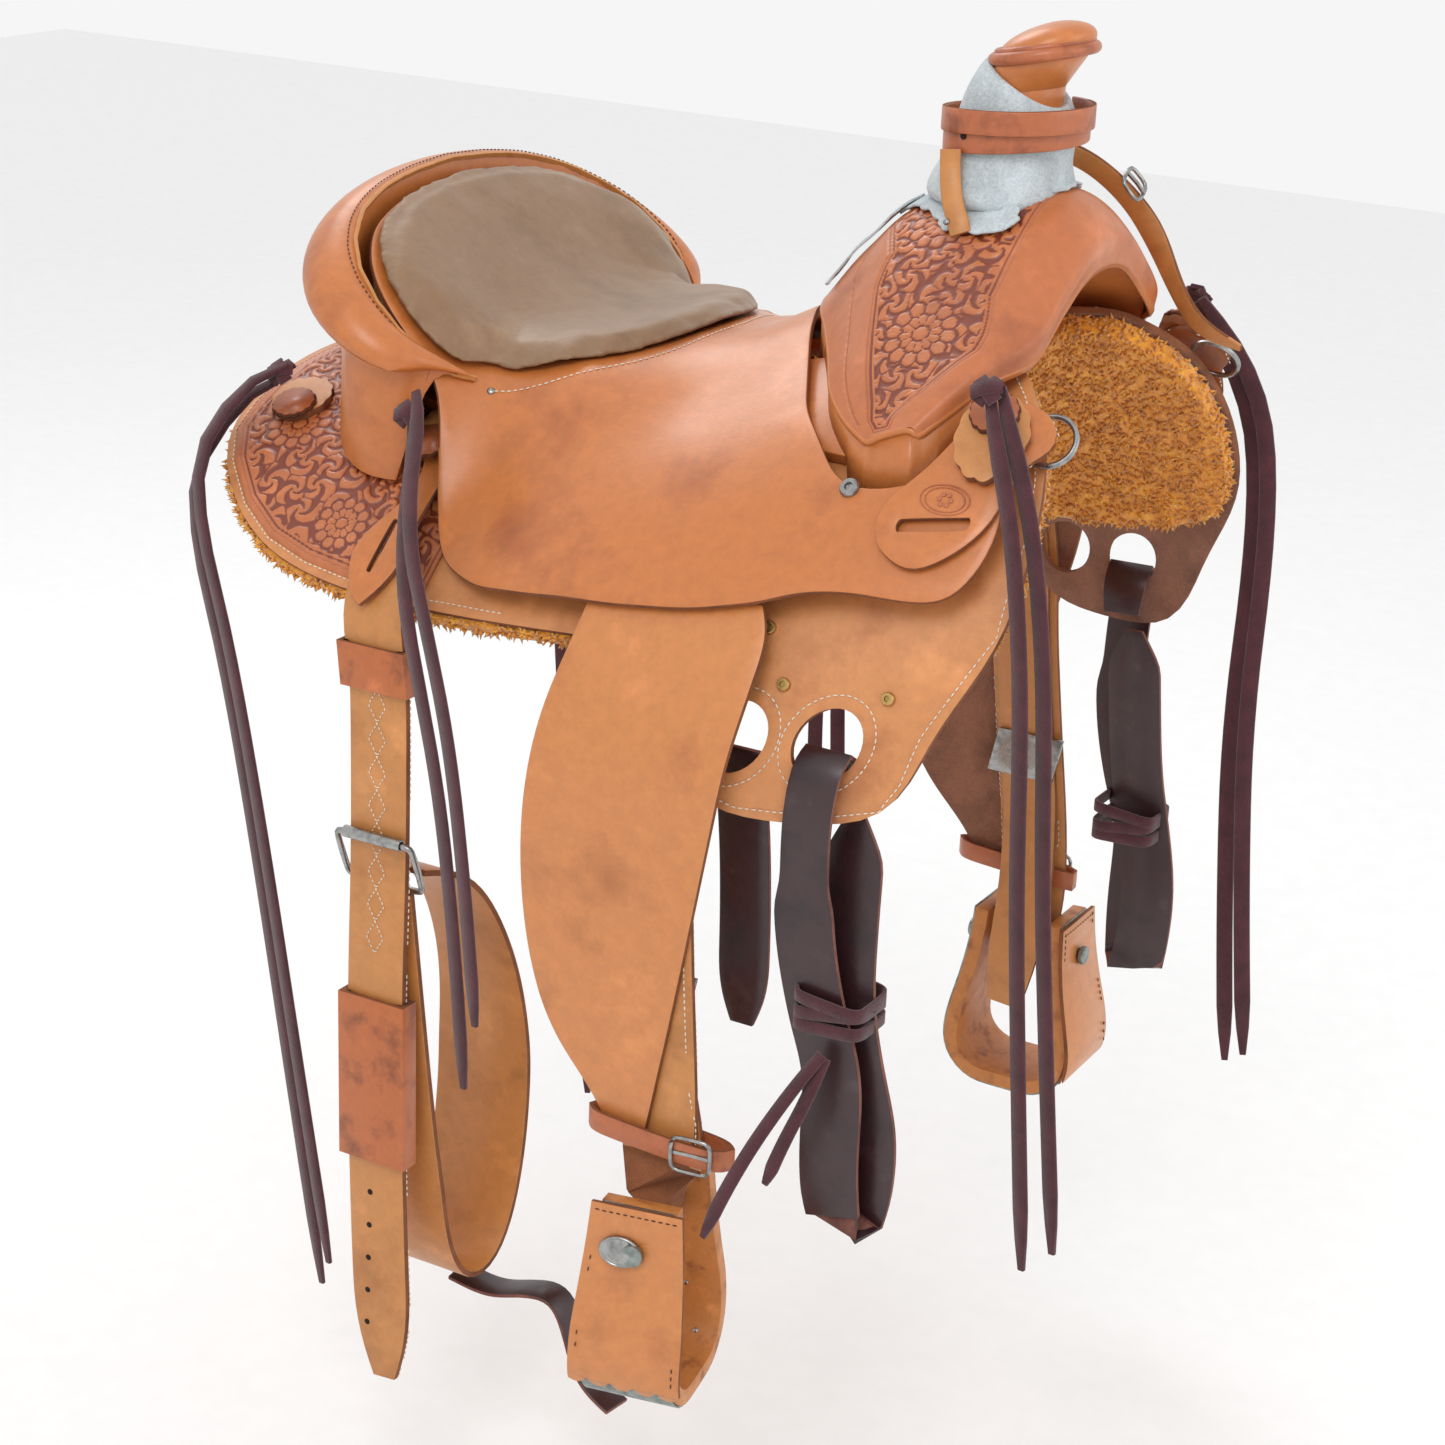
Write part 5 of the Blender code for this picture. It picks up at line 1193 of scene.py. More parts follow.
class SADDLE_OT_stirrups(bpy.types.Operator):
    """Stirrups: leather-lined bow, zinc band, leather cover and bolt, with an oval ornament on the near one."""

    bl_idname = "saddle.stirrups"
    bl_label = "Stirrups"

    def execute(self, context):
        for side, word in ((-1, "right"), (1, "left")):
            make_stirrup(side, word)
        return {"FINISHED"}


class SADDLE_OT_ties(bpy.types.Operator):
    """Burgundy latigos with their thongs, and the off billet."""

    bl_idname = "saddle.ties"
    bl_label = "Latigos and off billet"

    def execute(self, context):
        for side, word in ((-1, "right"), (1, "left")):
            make_latigo(side, word)
        refined("off_billet_right", look("latigo"), rim=look("latigo edge"), slot="leather_dark", thick=0.012)
        sew_edges("off_billet_right", 0.0045, thick=0.012, side=-1, slot="leather_dark")
        return {"FINISHED"}


class SADDLE_OT_strings(bpy.types.Operator):
    """Saddle strings hanging in pairs from the rosettes."""

    bl_idname = "saddle.strings"
    bl_label = "Saddle strings"

    def execute(self, context):
        for side, word in ((-1, "right"), (1, "left")):
            make_strings(side, word)
        return {"FINISHED"}


class SADDLE_OT_cinch(bpy.types.Operator):
    """Rear billet, its buckle, the flank cinch and the connecting strap."""

    bl_idname = "saddle.cinch"
    bl_label = "Rear cinch"

    def execute(self, context):
        make_cinch()
        return {"FINISHED"}


# Locks in a square metre of fleece, and the width of a lock. They are coarser than real wool so that they show.
LOCKS = 50000.0
LOCK_W = 0.0017


def make_fleece(node):
    """Lumpy wool, with locks that stand out all over it."""
    obj = refined(node, look("wool"), levels=2, slot="fleece", bevel=0)
    for v in obj.data.vertices:
        swell = noise.noise(v.co * 70) * 0.0022 + noise.noise(v.co * 190) * 0.0012
        v.co += v.normal * (swell - 0.0008)
    tuft = bpy.data.objects.new(node + "_locks", obj.data.copy())
    bpy.context.scene.collection.objects.link(tuft)
    size = bpy.context.scene.saddle_sizes.lock
    grown(tuft, locks_tree(), Density=LOCKS, Length=size, Width=LOCK_W,
          Finish=look("wool"))
    tuft.data.shade_smooth()
    wear(tuft, "saddle", "fleece")


CANTLE_RIM = [(-0.131, 0.161, 0.034), (-0.154, 0.184, 0.053), (-0.173, 0.194, 0.072), (-0.192, 0.195, 0.091),
              (-0.214, 0.186, 0.111), (-0.233, 0.166, 0.128), (-0.248, 0.136, 0.143), (-0.257, 0.095, 0.154),
              (-0.261, 0.048, 0.160), (-0.262, 0.000, 0.162)]


def make_cantle_seam():
    """The pale binding between the inlay and the rolled cantle, and the dark seam beside it."""
    half = smooth_path(CANTLE_RIM, 90)
    ring = np.concatenate([half * (1, -1, 1), half[::-1][1:]])
    tree = surface("cantle_cover")
    cord, seam = [], []
    for p in ring:
        found = tree.find_nearest(Vector(p))
        cord.append(tuple(found[0] + found[1] * 0.0004))
        outer = Vector(p) - (Vector((-0.10, 0, p[2])) - Vector(p)).normalized() * 0.0075
        found = tree.find_nearest(outer + Vector((0, 0, 0.004)))
        seam.append(tuple(found[0] + found[1] * 0.0004))
    binding = band("cantle_binding", along(cord, 0.004), (0.5, 0.0, 1.0), 0.0042, 0.0030, look("strap"))
    wear(binding, "saddle", "leather_tan")
    sewn("cantle_stitches", "saddle", "leather_tan", [along(seam, 0.003)], "dark thread")


def make_skirt(side, word):
    """A skirt with its carved corner, its rows of thread and its three rivets."""
    refined("skirt_" + word, look("skirt"), rim=look("edge"), back=look("flesh"), levels=1, bevel=0.0012)
    carved_skirt(side, word)
    ring = inset(SKIRT_EDGE, 0.0065)
    clear = [not (-0.035 < x < 0.125 and s > 0.25) for x, s in ring]
    runs, part = [], []
    for spot, free in zip(list(ring) * 2, clear * 2):
        if free:
            part.append(spot)
        elif part:
            runs.append(part)
            part = []
    rows = [on_skirt(max(runs, key=len), side, 0.0002)]
    for x, s in RIG_HOLES:
        ring = [(x + RIG_HOLE_R * 1.32 * math.cos(t), s + RIG_HOLE_R * 1.32 * math.sin(t))
                for t in np.linspace(0, 2 * math.pi, 60)]
        rows.append(on_skirt(ring, side, 0.0002))
    sewn("skirt_stitches_" + word, "saddle", "leather_tan", rows)
    spots = [(Vector(bed(x, s, SKIRT_TOP, side)),
              Vector(bed(x, s, SKIRT_TOP + 0.01, side)) - Vector(bed(x, s, SKIRT_TOP, side)))
             for x, s in SKIRT_RIVETS]
    studs("skirt_rivets_" + word, "saddle", "nickel", spots, 0.0048, 0.0022, "brass", hollow=True)


PAD_GROWTH = 0.0014
PAD_SINK = 0.0004
PAD_STEPS = 20


def padded_copy(node, finish, swell, voxel=0.0036):
    """A soft pad: a solid grown by PAD_GROWTH, then blown up by a short cloth simulation, no point moved past swell."""
    mesh = frame["nodes"][node].data.copy()
    mesh.materials.clear()
    obj = bpy.data.objects.new(node + "_soft", mesh)
    bpy.context.scene.collection.objects.link(obj)
    built = bmesh.new()
    built.from_mesh(mesh)
    bmesh.ops.remove_doubles(built, verts=built.verts, dist=0.00002)
    built.normal_update()
    for v in built.verts:
        v.co += v.normal * (PAD_GROWTH if v.normal.z > 0.3 or abs(v.normal.z) < 0.3 else 0.0)
    built.to_mesh(mesh)
    built.free()
    grid = obj.modifiers.new("Grid", "REMESH")
    grid.mode = "VOXEL"
    grid.voxel_size = voxel
    baked(obj)
    start = np.array([v.co for v in obj.data.vertices])
    cloth = obj.modifiers.new("Cloth", "CLOTH")
    cloth.settings.use_pressure = True
    cloth.settings.uniform_pressure_force = 4.0
    cloth.settings.effector_weights.gravity = 0.0
    cloth.settings.quality = 5
    for step in range(1, PAD_STEPS + 1):
        bpy.context.scene.frame_set(step)
    baked(obj)
    bpy.context.scene.frame_set(1)
    moved = np.array([v.co for v in obj.data.vertices]) - start
    moved[:, 2] = np.maximum(moved[:, 2], -PAD_SINK)
    size = np.linalg.norm(moved, axis=1, keepdims=True)
    moved *= np.minimum(1.0, swell / np.maximum(size, 1e-9))
    obj.data.vertices.foreach_set("co", (start + moved).reshape(-1).astype(np.float32))
    ease = obj.modifiers.new("Ease", "SMOOTH")
    ease.factor = 0.6
    ease.iterations = 8
    fine = obj.modifiers.new("Fine", "SUBSURF")
    fine.levels = fine.render_levels = 1
    baked(obj)
    obj.data.materials.clear()
    obj.data.materials.append(look(finish))
    obj.data.shade_smooth()
    return obj


PAD_FRONT = [(-0.124, 0.157), (-0.071, 0.140), (-0.039, 0.108), (-0.020, 0.075), (-0.008, 0.040), (-0.003, 0.0)]


def make_seat():
    """Smooth seat leather, the soft inlay and the rows of thread round it."""
    seat = refined("seat_leather", look("tan"), rim=look("edge"), levels=2, thick=0.012)
    pad = padded_copy("seat_pad", "inlay", 0.005)
    wear(pad, "saddle", "seat_inlay", "seat_pad")
    tree = shown_surface(seat)
    half = smooth_path([(x + 0.006, y + 0.003, 0) for x, y in PAD_FRONT], 60)
    ring = np.concatenate([half * (1, -1, 1), half[::-1][1:]])
    row = []
    for x, y, _ in ring:
        hit = tree.ray_cast(Vector((x, y, 0.3)), Vector((0, 0, -1)))
        if hit[0] is not None:
            row.append(hit[0] + hit[1] * 0.0005)
    sewn("seat_stitches", "saddle", "leather_tan", [row])
    for side in (-1, 1):
        place, way = on_node("seat_leather", start=(0.201, side * 0.5, 0.023), way=(0, -side, 0))
        studs("seat_screw_" + ("right" if side < 0 else "left"), "saddle", "nickel", [(place, way)], 0.0072, 0.0030,
              "nickel", 24, hollow=True)
        hit = tree.ray_cast(Vector((-0.117, side * 0.160, 0.3)), Vector((0, 0, -1)))
        studs("seat_nail_" + ("right" if side < 0 else "left"), "saddle", "nickel", [(hit[0], hit[1])], 0.0030, 0.0018,
              "nickel")


def on_fork(outline, name, finish, lift, thick, seed, body="saddle"):
    """A ragged patch of soft leather laid over the swells; its outline is in rows and columns of their surface."""
    outline = np.array(outline, float)
    low, high = outline.min(axis=0) - 0.1, outline.max(axis=0) + 0.1
    t = np.arange(low[0], high[0], 0.030)
    c = np.arange(low[1], high[1], 0.028)
    rim = along(outline * (0.035, 0.030), 0.003, closed=True)[:-1] / (0.035, 0.030)
    rim = smooth_path(np.concatenate([rim, rim[:1]]), 160)[:-1]
    ragged = []
    for p in rim:
        shake = noise.noise(Vector((p[0] * 5, p[1] * 5, seed))) * 0.10
        shake += noise.noise(Vector((p[0] * 22, p[1] * 22, seed))) * 0.05
        ragged.append(p + (shake, shake * 0.7))
    ragged = np.array(ragged)
    at, normal = fork_surface(np.clip(t, 0, 12), np.clip(c, 0, 5))
    points, keep = [], {}
    for i, a in enumerate(t):
        for j, b in enumerate(c):
            before, after = ragged, np.roll(ragged, -1, axis=0)
            crosses = (before[:, 1] > b) != (after[:, 1] > b)
            with np.errstate(divide="ignore", invalid="ignore"):
                cut = (after[:, 0] - before[:, 0]) * (b - before[:, 1]) / (after[:, 1] - before[:, 1]) + before[:, 0]
            if np.sum(crosses & (a < cut)) % 2:
                keep[i, j] = len(points)
                wave = noise.noise(Vector((a * 1.7, b * 1.9, seed + 4.0))) * 0.0022
                points.append(at[i, j] + normal[i, j] * (lift + max(wave, -lift * 0.4)))
    faces = [(keep[i, j], keep[i + 1, j], keep[i + 1, j + 1], keep[i, j + 1]) for i, j in keep
             if (i + 1, j) in keep and (i, j + 1) in keep and (i + 1, j + 1) in keep]
    obj = piece(name, points, faces, look(finish))
    built = bmesh.new()
    built.from_mesh(obj.data)
    if sum(f.normal.z for f in built.faces) < 0:
        bmesh.ops.reverse_faces(built, faces=built.faces)
    loose = [v for v in built.verts if not v.link_faces]
    bmesh.ops.delete(built, geom=loose, context="VERTS")
    for _ in range(3):
        edge = [v for v in built.verts if v.is_boundary]
        moves = [(v, sum((e.other_vert(v).co for e in v.link_edges if e.is_boundary), Vector()) / 2) for v in edge
                 if sum(e.is_boundary for e in v.link_edges) == 2]
        for v, to in moves:
            v.co = v.co.lerp(to, 0.5)
    built.to_mesh(obj.data)
    built.free()
    wall = obj.modifiers.new("Wall", "SOLIDIFY")
    wall.thickness = thick
    wall.offset = 1.0
    baked(obj)
    obj.data.shade_smooth()
    return wear(obj, body, "suede")


def rings_of(name, rings, finish):
    """A closed skin over a stack of rings of points."""
    count = len(rings[0])
    points = [p for ring in rings for p in ring]
    faces = [(k * count + i, k * count + (i + 1) % count, (k + 1) * count + (i + 1) % count, (k + 1) * count + i)
             for k in range(len(rings) - 1) for i in range(count)]
    faces += [list(range(count))[::-1], [(len(rings) - 1) * count + i for i in range(count)]]
    obj = piece(name, points, faces, look(finish))
    outward(obj)
    return obj


HORN_AXIS = ((0.200, 0.150), (0.204, 0.190), (0.212, 0.235), (0.2185, 0.268), (0.225, 0.284))


def horn_ring(z, radius, lean, count=72):
    """A ring round the horn at a height, leaning forwards."""
    x = float(np.interp(z, [p[1] for p in HORN_AXIS], [p[0] for p in HORN_AXIS]))
    return [(x + radius * math.cos(a) * math.cos(lean), radius * math.sin(a), z - radius * math.cos(a) * math.sin(lean))
            for a in (2 * math.pi * i / count for i in range(count))]


def make_wrap():
    """Suede wound round the horn: wider at its foot, with soft folds, its top edge sloping up to the cap."""
    rings = []
    for z, radius, lean in ((0.186, 0.040, 0.0), (0.190, 0.052, 0.02), (0.198, 0.0535, 0.04), (0.206, 0.051, 0.05),
                            (0.214, 0.0475, 0.05), (0.222, 0.0445, 0.06), (0.232, 0.0435, 0.08), (0.244, 0.0425, 0.12),
                            (0.254, 0.0415, 0.20), (0.262, 0.0395, 0.30), (0.270, 0.0365, 0.42), (0.2745, 0.0335, 0.50),
                            (0.2755, 0.0300, 0.50), (0.268, 0.0280, 0.42)):
        rings.append(horn_ring(z, radius, lean))
    obj = rings_of("horn_wrap_suede", rings, "suede")
    for v in obj.data.vertices:
        wave = noise.noise(Vector((v.co.x * 26, v.co.y * 26, v.co.z * 70))) * 0.0016
        wave += noise.noise(v.co * 160) * 0.0005
        v.co += v.normal * wave
    sub = obj.modifiers.new("Smooth", "SUBSURF")
    sub.levels = sub.render_levels = 1
    baked(obj)
    obj.data.shade_smooth()
    wear(obj, "saddle", "suede", "horn_wrap")


def make_horn():
    """Horn: suede wrap with its flaps, the cap, the two straps on it and the rope strap with its buckle."""
    make_wrap()
    near = [(5.75, 1.55), (5.25, 1.95), (4.70, 2.20), (4.36, 2.36), (4.18, 2.60), (4.30, 2.86), (4.62, 2.96),
            (4.92, 2.84), (5.20, 2.90), (5.48, 3.10), (5.90, 3.22), (6.35, 3.15), (6.80, 3.05), (7.25, 2.95),
            (7.50, 2.60), (7.35, 2.10), (6.85, 1.70), (6.30, 1.50)]
    on_fork(near, "horn_flap_near", "suede", 0.0026, 0.0018, 1.0)
    tail = [(5.95, 1.90), (5.45, 1.75), (5.28, 1.20), (5.22, 0.70), (5.20, 0.30), (5.45, 0.16), (5.72, 0.30),
            (5.80, 0.80), (5.95, 1.30), (6.40, 1.60)]
    on_fork(tail, "horn_flap_rear", "suede", 0.0050, 0.0018, 6.0)
    lean = -0.20
    cone = [(0.2560, 0.0265), (0.2700, 0.0285), (0.2820, 0.0318), (0.2900, 0.0345), (0.2935, 0.0340)]
    under = rings_of("horn_neck", [tilted_ring(z, r, lean) for z, r in cone], "tan")
    dome = [(0.2925, 0.0335), (0.3010, 0.0345), (0.3060, 0.0325), (0.3110, 0.0275), (0.3150, 0.0190),
            (0.3172, 0.0100), (0.3180, 0.0030)]
    top = rings_of("horn_dome", [tilted_ring(z, r, lean) for z, r in dome], "tan")
    crown = joined("horn_cap_body", [under, top])
    smooth = crown.modifiers.new("Smooth", "SUBSURF")
    smooth.levels = smooth.render_levels = 1
    baked(crown)
    crown.data.shade_smooth()
    wear(crown, "saddle", "leather_russet", "horn_cap")
    roll = tilted_ring(0.2968, 0.0352, lean, 64)
    for i, (rise, reach, thick) in enumerate(((-0.0014, 0.0, 0.0047), (0.0034, -0.0022, 0.0030))):
        ring = [(x + (reach * (x - 0.2306) / 0.035), y * (1 + reach / 0.035), z + rise) for x, y, z in roll]
        rolled = hoop("horn_roll_" + str(i), ring, thick, look("russet"), 12)
        wear(rolled, "saddle", "leather_russet", "horn_cap")
    refined("horn_strap", look("russet"), rim=look("edge"), levels=2, slot="leather_russet")
    refined("rope_strap", look("strap"), rim=look("edge"), levels=1)
    hit = surface("rope_strap").find_nearest(Vector((0.275, 0.078, 0.200)))
    ahead = Vector((0.018, 0.014, -0.026)).normalized()
    frame_buckle("rope_buckle", "saddle", hit[0] + hit[1] * 0.0015, ahead, hit[1].cross(ahead), 0.020, 0.021)
    # The strap's hole is a flat, nearly black dome: painted shade.
    place, way = on_node("horn_strap", start=(0.190, -0.30, 0.2395), way=(0.02, 1, 0))
    studs("horn_strap_hole_shade", "saddle", "leather_russet", [(place, way)], 0.0024, 0.0004, "hole")
    short = [(0.1875, -0.0500, 0.2300), (0.1888, -0.0515, 0.2190), (0.1920, -0.0560, 0.2060), (0.1965, -0.0590, 0.1930),
             (0.2020, -0.0610, 0.1830), (0.2060, -0.0640, 0.1755)]
    path = smooth_path(short, 26)
    tie = band("horn_short_strap", path, (1.0, 0.12, -0.05), 0.0150, 0.0030, look("strap"))
    wear(tie, "saddle", "leather_tan")
    studs("horn_nail", "saddle", "nickel", [(Vector((0.1945, -0.0640, 0.1825)), Vector((-0.2, -0.7, 0.6)))], 0.0024,
          0.0016, "nickel")


def tilted_ring(z, radius, lean, count=48):
    """A ring of the horn's cap, a little narrower across than along."""
    x = 0.2185 + (z - 0.268) * 0.42
    return [(x + radius * math.cos(a) * math.cos(lean), radius * 0.97 * math.sin(a),
             z - radius * math.cos(a) * math.sin(lean)) for a in (2 * math.pi * i / count for i in range(count))]


# Each turn of a knot: its angle and its height over the rosette.
KNOT = ((0.2, 0.0), (1.5, 0.0016), (2.6, 0.0030))
# The carrier is sewn above this height only.
CARRIER_SEAM_FOOT = 0.02


def make_rigging(side, word):
    """Rosettes with their layers and knots, the carriers, the ring and a plain ornament of an oval and dots."""
    for name, line, in (("front_rosette_", FRONT_STRING), ("jockey_rosette_", JOCKEY_STRING),
                        ("cantle_rosette_", CANTLE_STRING)):
        start = Vector((line[0][0], side * line[0][1], line[0][2]))
        way = Vector((0, side * 0.75, 0.65)).normalized()
        parts = []
        for i, (turn, rise) in enumerate(KNOT):
            a = way.orthogonal().normalized()
            b = way.cross(a)
            run = a * math.cos(turn) + b * math.sin(turn)
            path = [start + run * u + way * (0.0035 + rise + 0.0040 * math.cos(u / 0.011 * 1.45))
                    for u in np.linspace(-0.0105, 0.0105, 9)]
            parts.append(band(name + word + str(i), path, way.cross(run), 0.0105, 0.0030, look("thong")))
        tree = surface(name + word)
        disc = []
        for share, rise, tone in ((1.0, 0.0006, "dark edge"), (0.94, 0.0026, "russet")):
            centre, out = tree.find_nearest(start)[:2]
            out = out if out.dot(way) > 0 else -out
            u = out.orthogonal().normalized()
            w = out.cross(u)
            rim = [centre + (u * math.cos(t) + w * math.sin(t)) * 0.0175 * share * (0.93 + 0.07 * abs(math.cos(7 * t)))
                   for t in np.linspace(0, 2 * math.pi, 113)[:-1]]
            disc.append(rings_of("layer" + str(share), [[p + out * (rise + h) for p in rim] for h in (0.0, 0.0022)],
                                 tone))
        wear(joined(name + word + "_layer", disc), "saddle", "leather_russet")
        knot = joined(name + word + "_knot", parts)
        wear(knot, "saddle", "string_leather")
    for node, finish, slot in (("front_carrier_", "tan", "leather_tan"), ("rear_carrier_", "tan", "leather_tan"),
                               ("dee_ring_", "nickel", "nickel"), ("front_rosette_", "strap", "leather_tan"),
                               ("jockey_rosette_", "strap", "leather_tan"),
                               ("cantle_rosette_", "strap", "leather_tan")):
        metal_piece = finish == "nickel"
        refined(node + word, look(finish), rim=None if metal_piece else look("edge"), slot=slot,
                levels=2 if metal_piece else 1, bevel=0 if metal_piece else 0.0007)
    sew_edges("front_carrier_" + word, 0.004, thick=0.006, side=side, shortest=0.12,
              keep=lambda p: p.z > CARRIER_SEAM_FOOT)
    tree = surface("front_carrier_" + word)
    low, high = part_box("front_carrier_" + word)
    middle = Vector(((low.x + high.x) / 2 - 0.006, side * 0.30, (low.z + high.z) / 2 + 0.066))
    place, way = tree.find_nearest(middle)[:2]
    a = Vector((1, 0, 0)).cross(way).normalized()
    b = way.cross(a)
    stamped = []
    for share in (1.0, 0.82):
        line = [tree.find_nearest(place + (b * (0.0185 * math.cos(t)) + a * (0.0110 * math.sin(t))) * share)[0]
                for t in np.linspace(0, 2 * math.pi, 60)[:-1]]
        stamped.append(hoop("stamp" + str(share), line, 0.0005, look("russet"), 6))
    for k in range(6):
        t = k * math.pi / 3
        spot = tree.find_nearest(place + (b * math.cos(t) + a * math.sin(t)) * 0.0042)
        stamped.append(turned("petal" + str(k), spot[0], spot[1], [(0.0019, -0.0005), (0.0017, 0.0005), (0.0, 0.0008)],
                              look("russet"), 10))
    wear(joined("carrier_ornament_" + word, stamped), "saddle", "leather_tan")


def make_fender(side, word):
    """Fender, stirrup leather with its buckle, and the hobble strap with its own."""
    refined("fender_" + word, look("fender"), rim=look("edge"), back=look("flesh"), levels=2)
    sew_edges("stirrup_leather_" + word, 0.0045, side=side, thick=0.010)
    refined("stirrup_leather_" + word, look("strap"), rim=look("edge"), levels=1)
    refined("leather_buckle_" + word, look("nickel"), levels=1, slot="nickel", bevel=0.0005)
    refined("hobble_strap_" + word, look("russet"), rim=look("edge"), levels=1, slot="leather_russet")
    low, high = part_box("hobble_strap_" + word)
    spot = Vector((high.x - 0.026, side * 0.6, (low.z + high.z) / 2 - 0.001))
    hit = surface("hobble_strap_" + word).ray_cast(spot, Vector((0, -side, 0)))
    if hit[0] is not None:
        frame_buckle("hobble_buckle_" + word, body_of("hobble_strap_" + word), hit[0] + hit[1] * 0.0018,
                     hit[1].cross(Vector((0, 0, 1))), (0, 0, 1), 0.030, 0.026)


SCALLOP = -0.612


def scallop(cover, side):
    """Cuts the cover's foot to five scallops, so that the zinc band shows below it."""
    low = min((v.co for v in cover.data.vertices), key=lambda k: k.x).x
    high = max((v.co for v in cover.data.vertices), key=lambda k: k.x).x
    line = [(x, SCALLOP - 0.0065 * abs(math.sin(math.pi * 5 * (x - low) / (high - low))) ** 0.7)
            for x in np.linspace(low - 0.01, high + 0.01, 90)]
    ring = line + [(high + 0.01, -0.70), (low - 0.01, -0.70)]
    count = len(ring)
    points = [(x, side * 0.20, z) for x, z in ring] + [(x, side * 0.46, z) for x, z in ring]
    faces = [(i, (i + 1) % count, count + (i + 1) % count, count + i) for i in range(count)]
    faces += [list(range(count))[::-1], list(range(count, 2 * count))]
    knife = piece("knife", points, faces, smooth=False)
    outward(knife)
    cut = cover.modifiers.new("Cut", "BOOLEAN")
    cut.operation = "DIFFERENCE"
    cut.object = knife
    cut.solver = "EXACT"
    baked(cover)
    bpy.data.objects.remove(knife, do_unlink=True)
    cover.data.shade_smooth()
    cover.data.set_sharp_from_angle(angle=math.radians(48))


def punched(name, body, slot, node, places, side, radius=0.0024):
    """Punched holes down a strap, at places x and z, each drawn as a flat, nearly black dome of painted shade."""
    spots = []
    for x, z in places:
        hit = surface(node).ray_cast(Vector((x, side * 0.6, z)), Vector((0, -side, 0)))
        if hit[0] is not None:
            spots.append((hit[0], hit[1]))
    if spots:
        studs(name, body, slot, spots, radius, 0.0004, "hole")


def frame_buckle(name, body, centre, across, up, width, height, wire=0.0016):
    """A rectangular wire buckle with its tongue."""
    a, b = Vector(across).normalized(), Vector(up).normalized()
    centre = Vector(centre)
    corners = []
    for u, v in ((-1, -1), (1, -1), (1, 1), (-1, 1)):
        for k in range(5):
            turn = math.atan2(v, u) - math.pi / 4 + math.pi / 8 * k
            spot = centre + a * (u * (width / 2 - 0.003)) + b * (v * (height / 2 - 0.003))
            corners.append(spot + (a * math.cos(turn) + b * math.sin(turn)) * 0.003)
    ring = hoop(name, corners, wire, look("nickel"), 10)
    way = a.cross(b)
    tongue = band(name + "_tongue", [centre - a * (width / 2) + way * 0.0012, centre + way * 0.0022,
                                     centre + a * (width / 2) + way * 0.0016], b, 0.0028, 0.0020, look("nickel"))
    return wear(joined(name, [ring, tongue]), body, "nickel")


def make_stirrup(side, word):
    """Stirrup: leather-lined bow, zinc band, stitched cover with a scalloped foot, oval ornament and nails."""
    body = body_of("stirrup_frame_" + word)
    refined("stirrup_frame_" + word, look("liner"), rim=None, levels=1, slot="stirrup_wood")
    refined("stirrup_band_" + word, look("zinc"), levels=1, slot="galvanized", bevel=0.0003)
    refined("stirrup_cover_" + word, look("fender"), rim=look("edge"), levels=1)
    refined("stirrup_bolt_" + word, look("zinc"), levels=1, slot="galvanized", bevel=0.0004)
    cover = bpy.data.objects["stirrup_cover_" + word + "_shown"]
    scallop(cover, side)
    sew_edges("stirrup_cover_" + word, 0.0055, finish="dark thread", spacing=0.0052, side=side, body=body,
              keep=lambda p: p.z > SCALLOP + 0.006)
    frame_mesh = surface("stirrup_frame_" + word)
    spots = []
    for x, z in ((0.0, -0.585), (0.012, -0.620), (-0.012, -0.598)):
        middle_x = (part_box("stirrup_frame_" + word)[0].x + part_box("stirrup_frame_" + word)[1].x) / 2
        hit = frame_mesh.ray_cast(Vector((middle_x + x, side * 0.302, z)), Vector((0, -side, 0)))
        if hit[0] is not None:
            spots.append((hit[0], hit[1]))
    if spots:
        studs("stirrup_nails_" + word, body, "nickel", spots, 0.0021, 0.0012, "nickel")
    if side > 0:
        return
    low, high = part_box("stirrup_bolt_" + word)
    middle = (low + high) / 2
    reach = middle.y + side * 0.05
    place, way = surface("stirrup_cover_" + word).find_nearest(Vector((middle.x, reach, middle.z)))[:2]
    a = Vector((way.y, -way.x, 0)).normalized()
    b = way.cross(a)
    rings = []
    for share, rise in ((1.0, -0.001), (1.0, 0.0012), (0.93, 0.0028), (0.86, 0.0024), (0.82, 0.0018), (0.5, 0.0040),
                        (0.02, 0.0046)):
        rings.append([place + way * (rise + 0.0022) + (a * (0.0160 * math.cos(t)) + b * (0.0115 * math.sin(t))) * share
                      for t in (2 * math.pi * i / 40 for i in range(40))])
    oval = rings_of("stirrup_concho_" + word, rings, "nickel")
    wear(oval, body, "nickel")


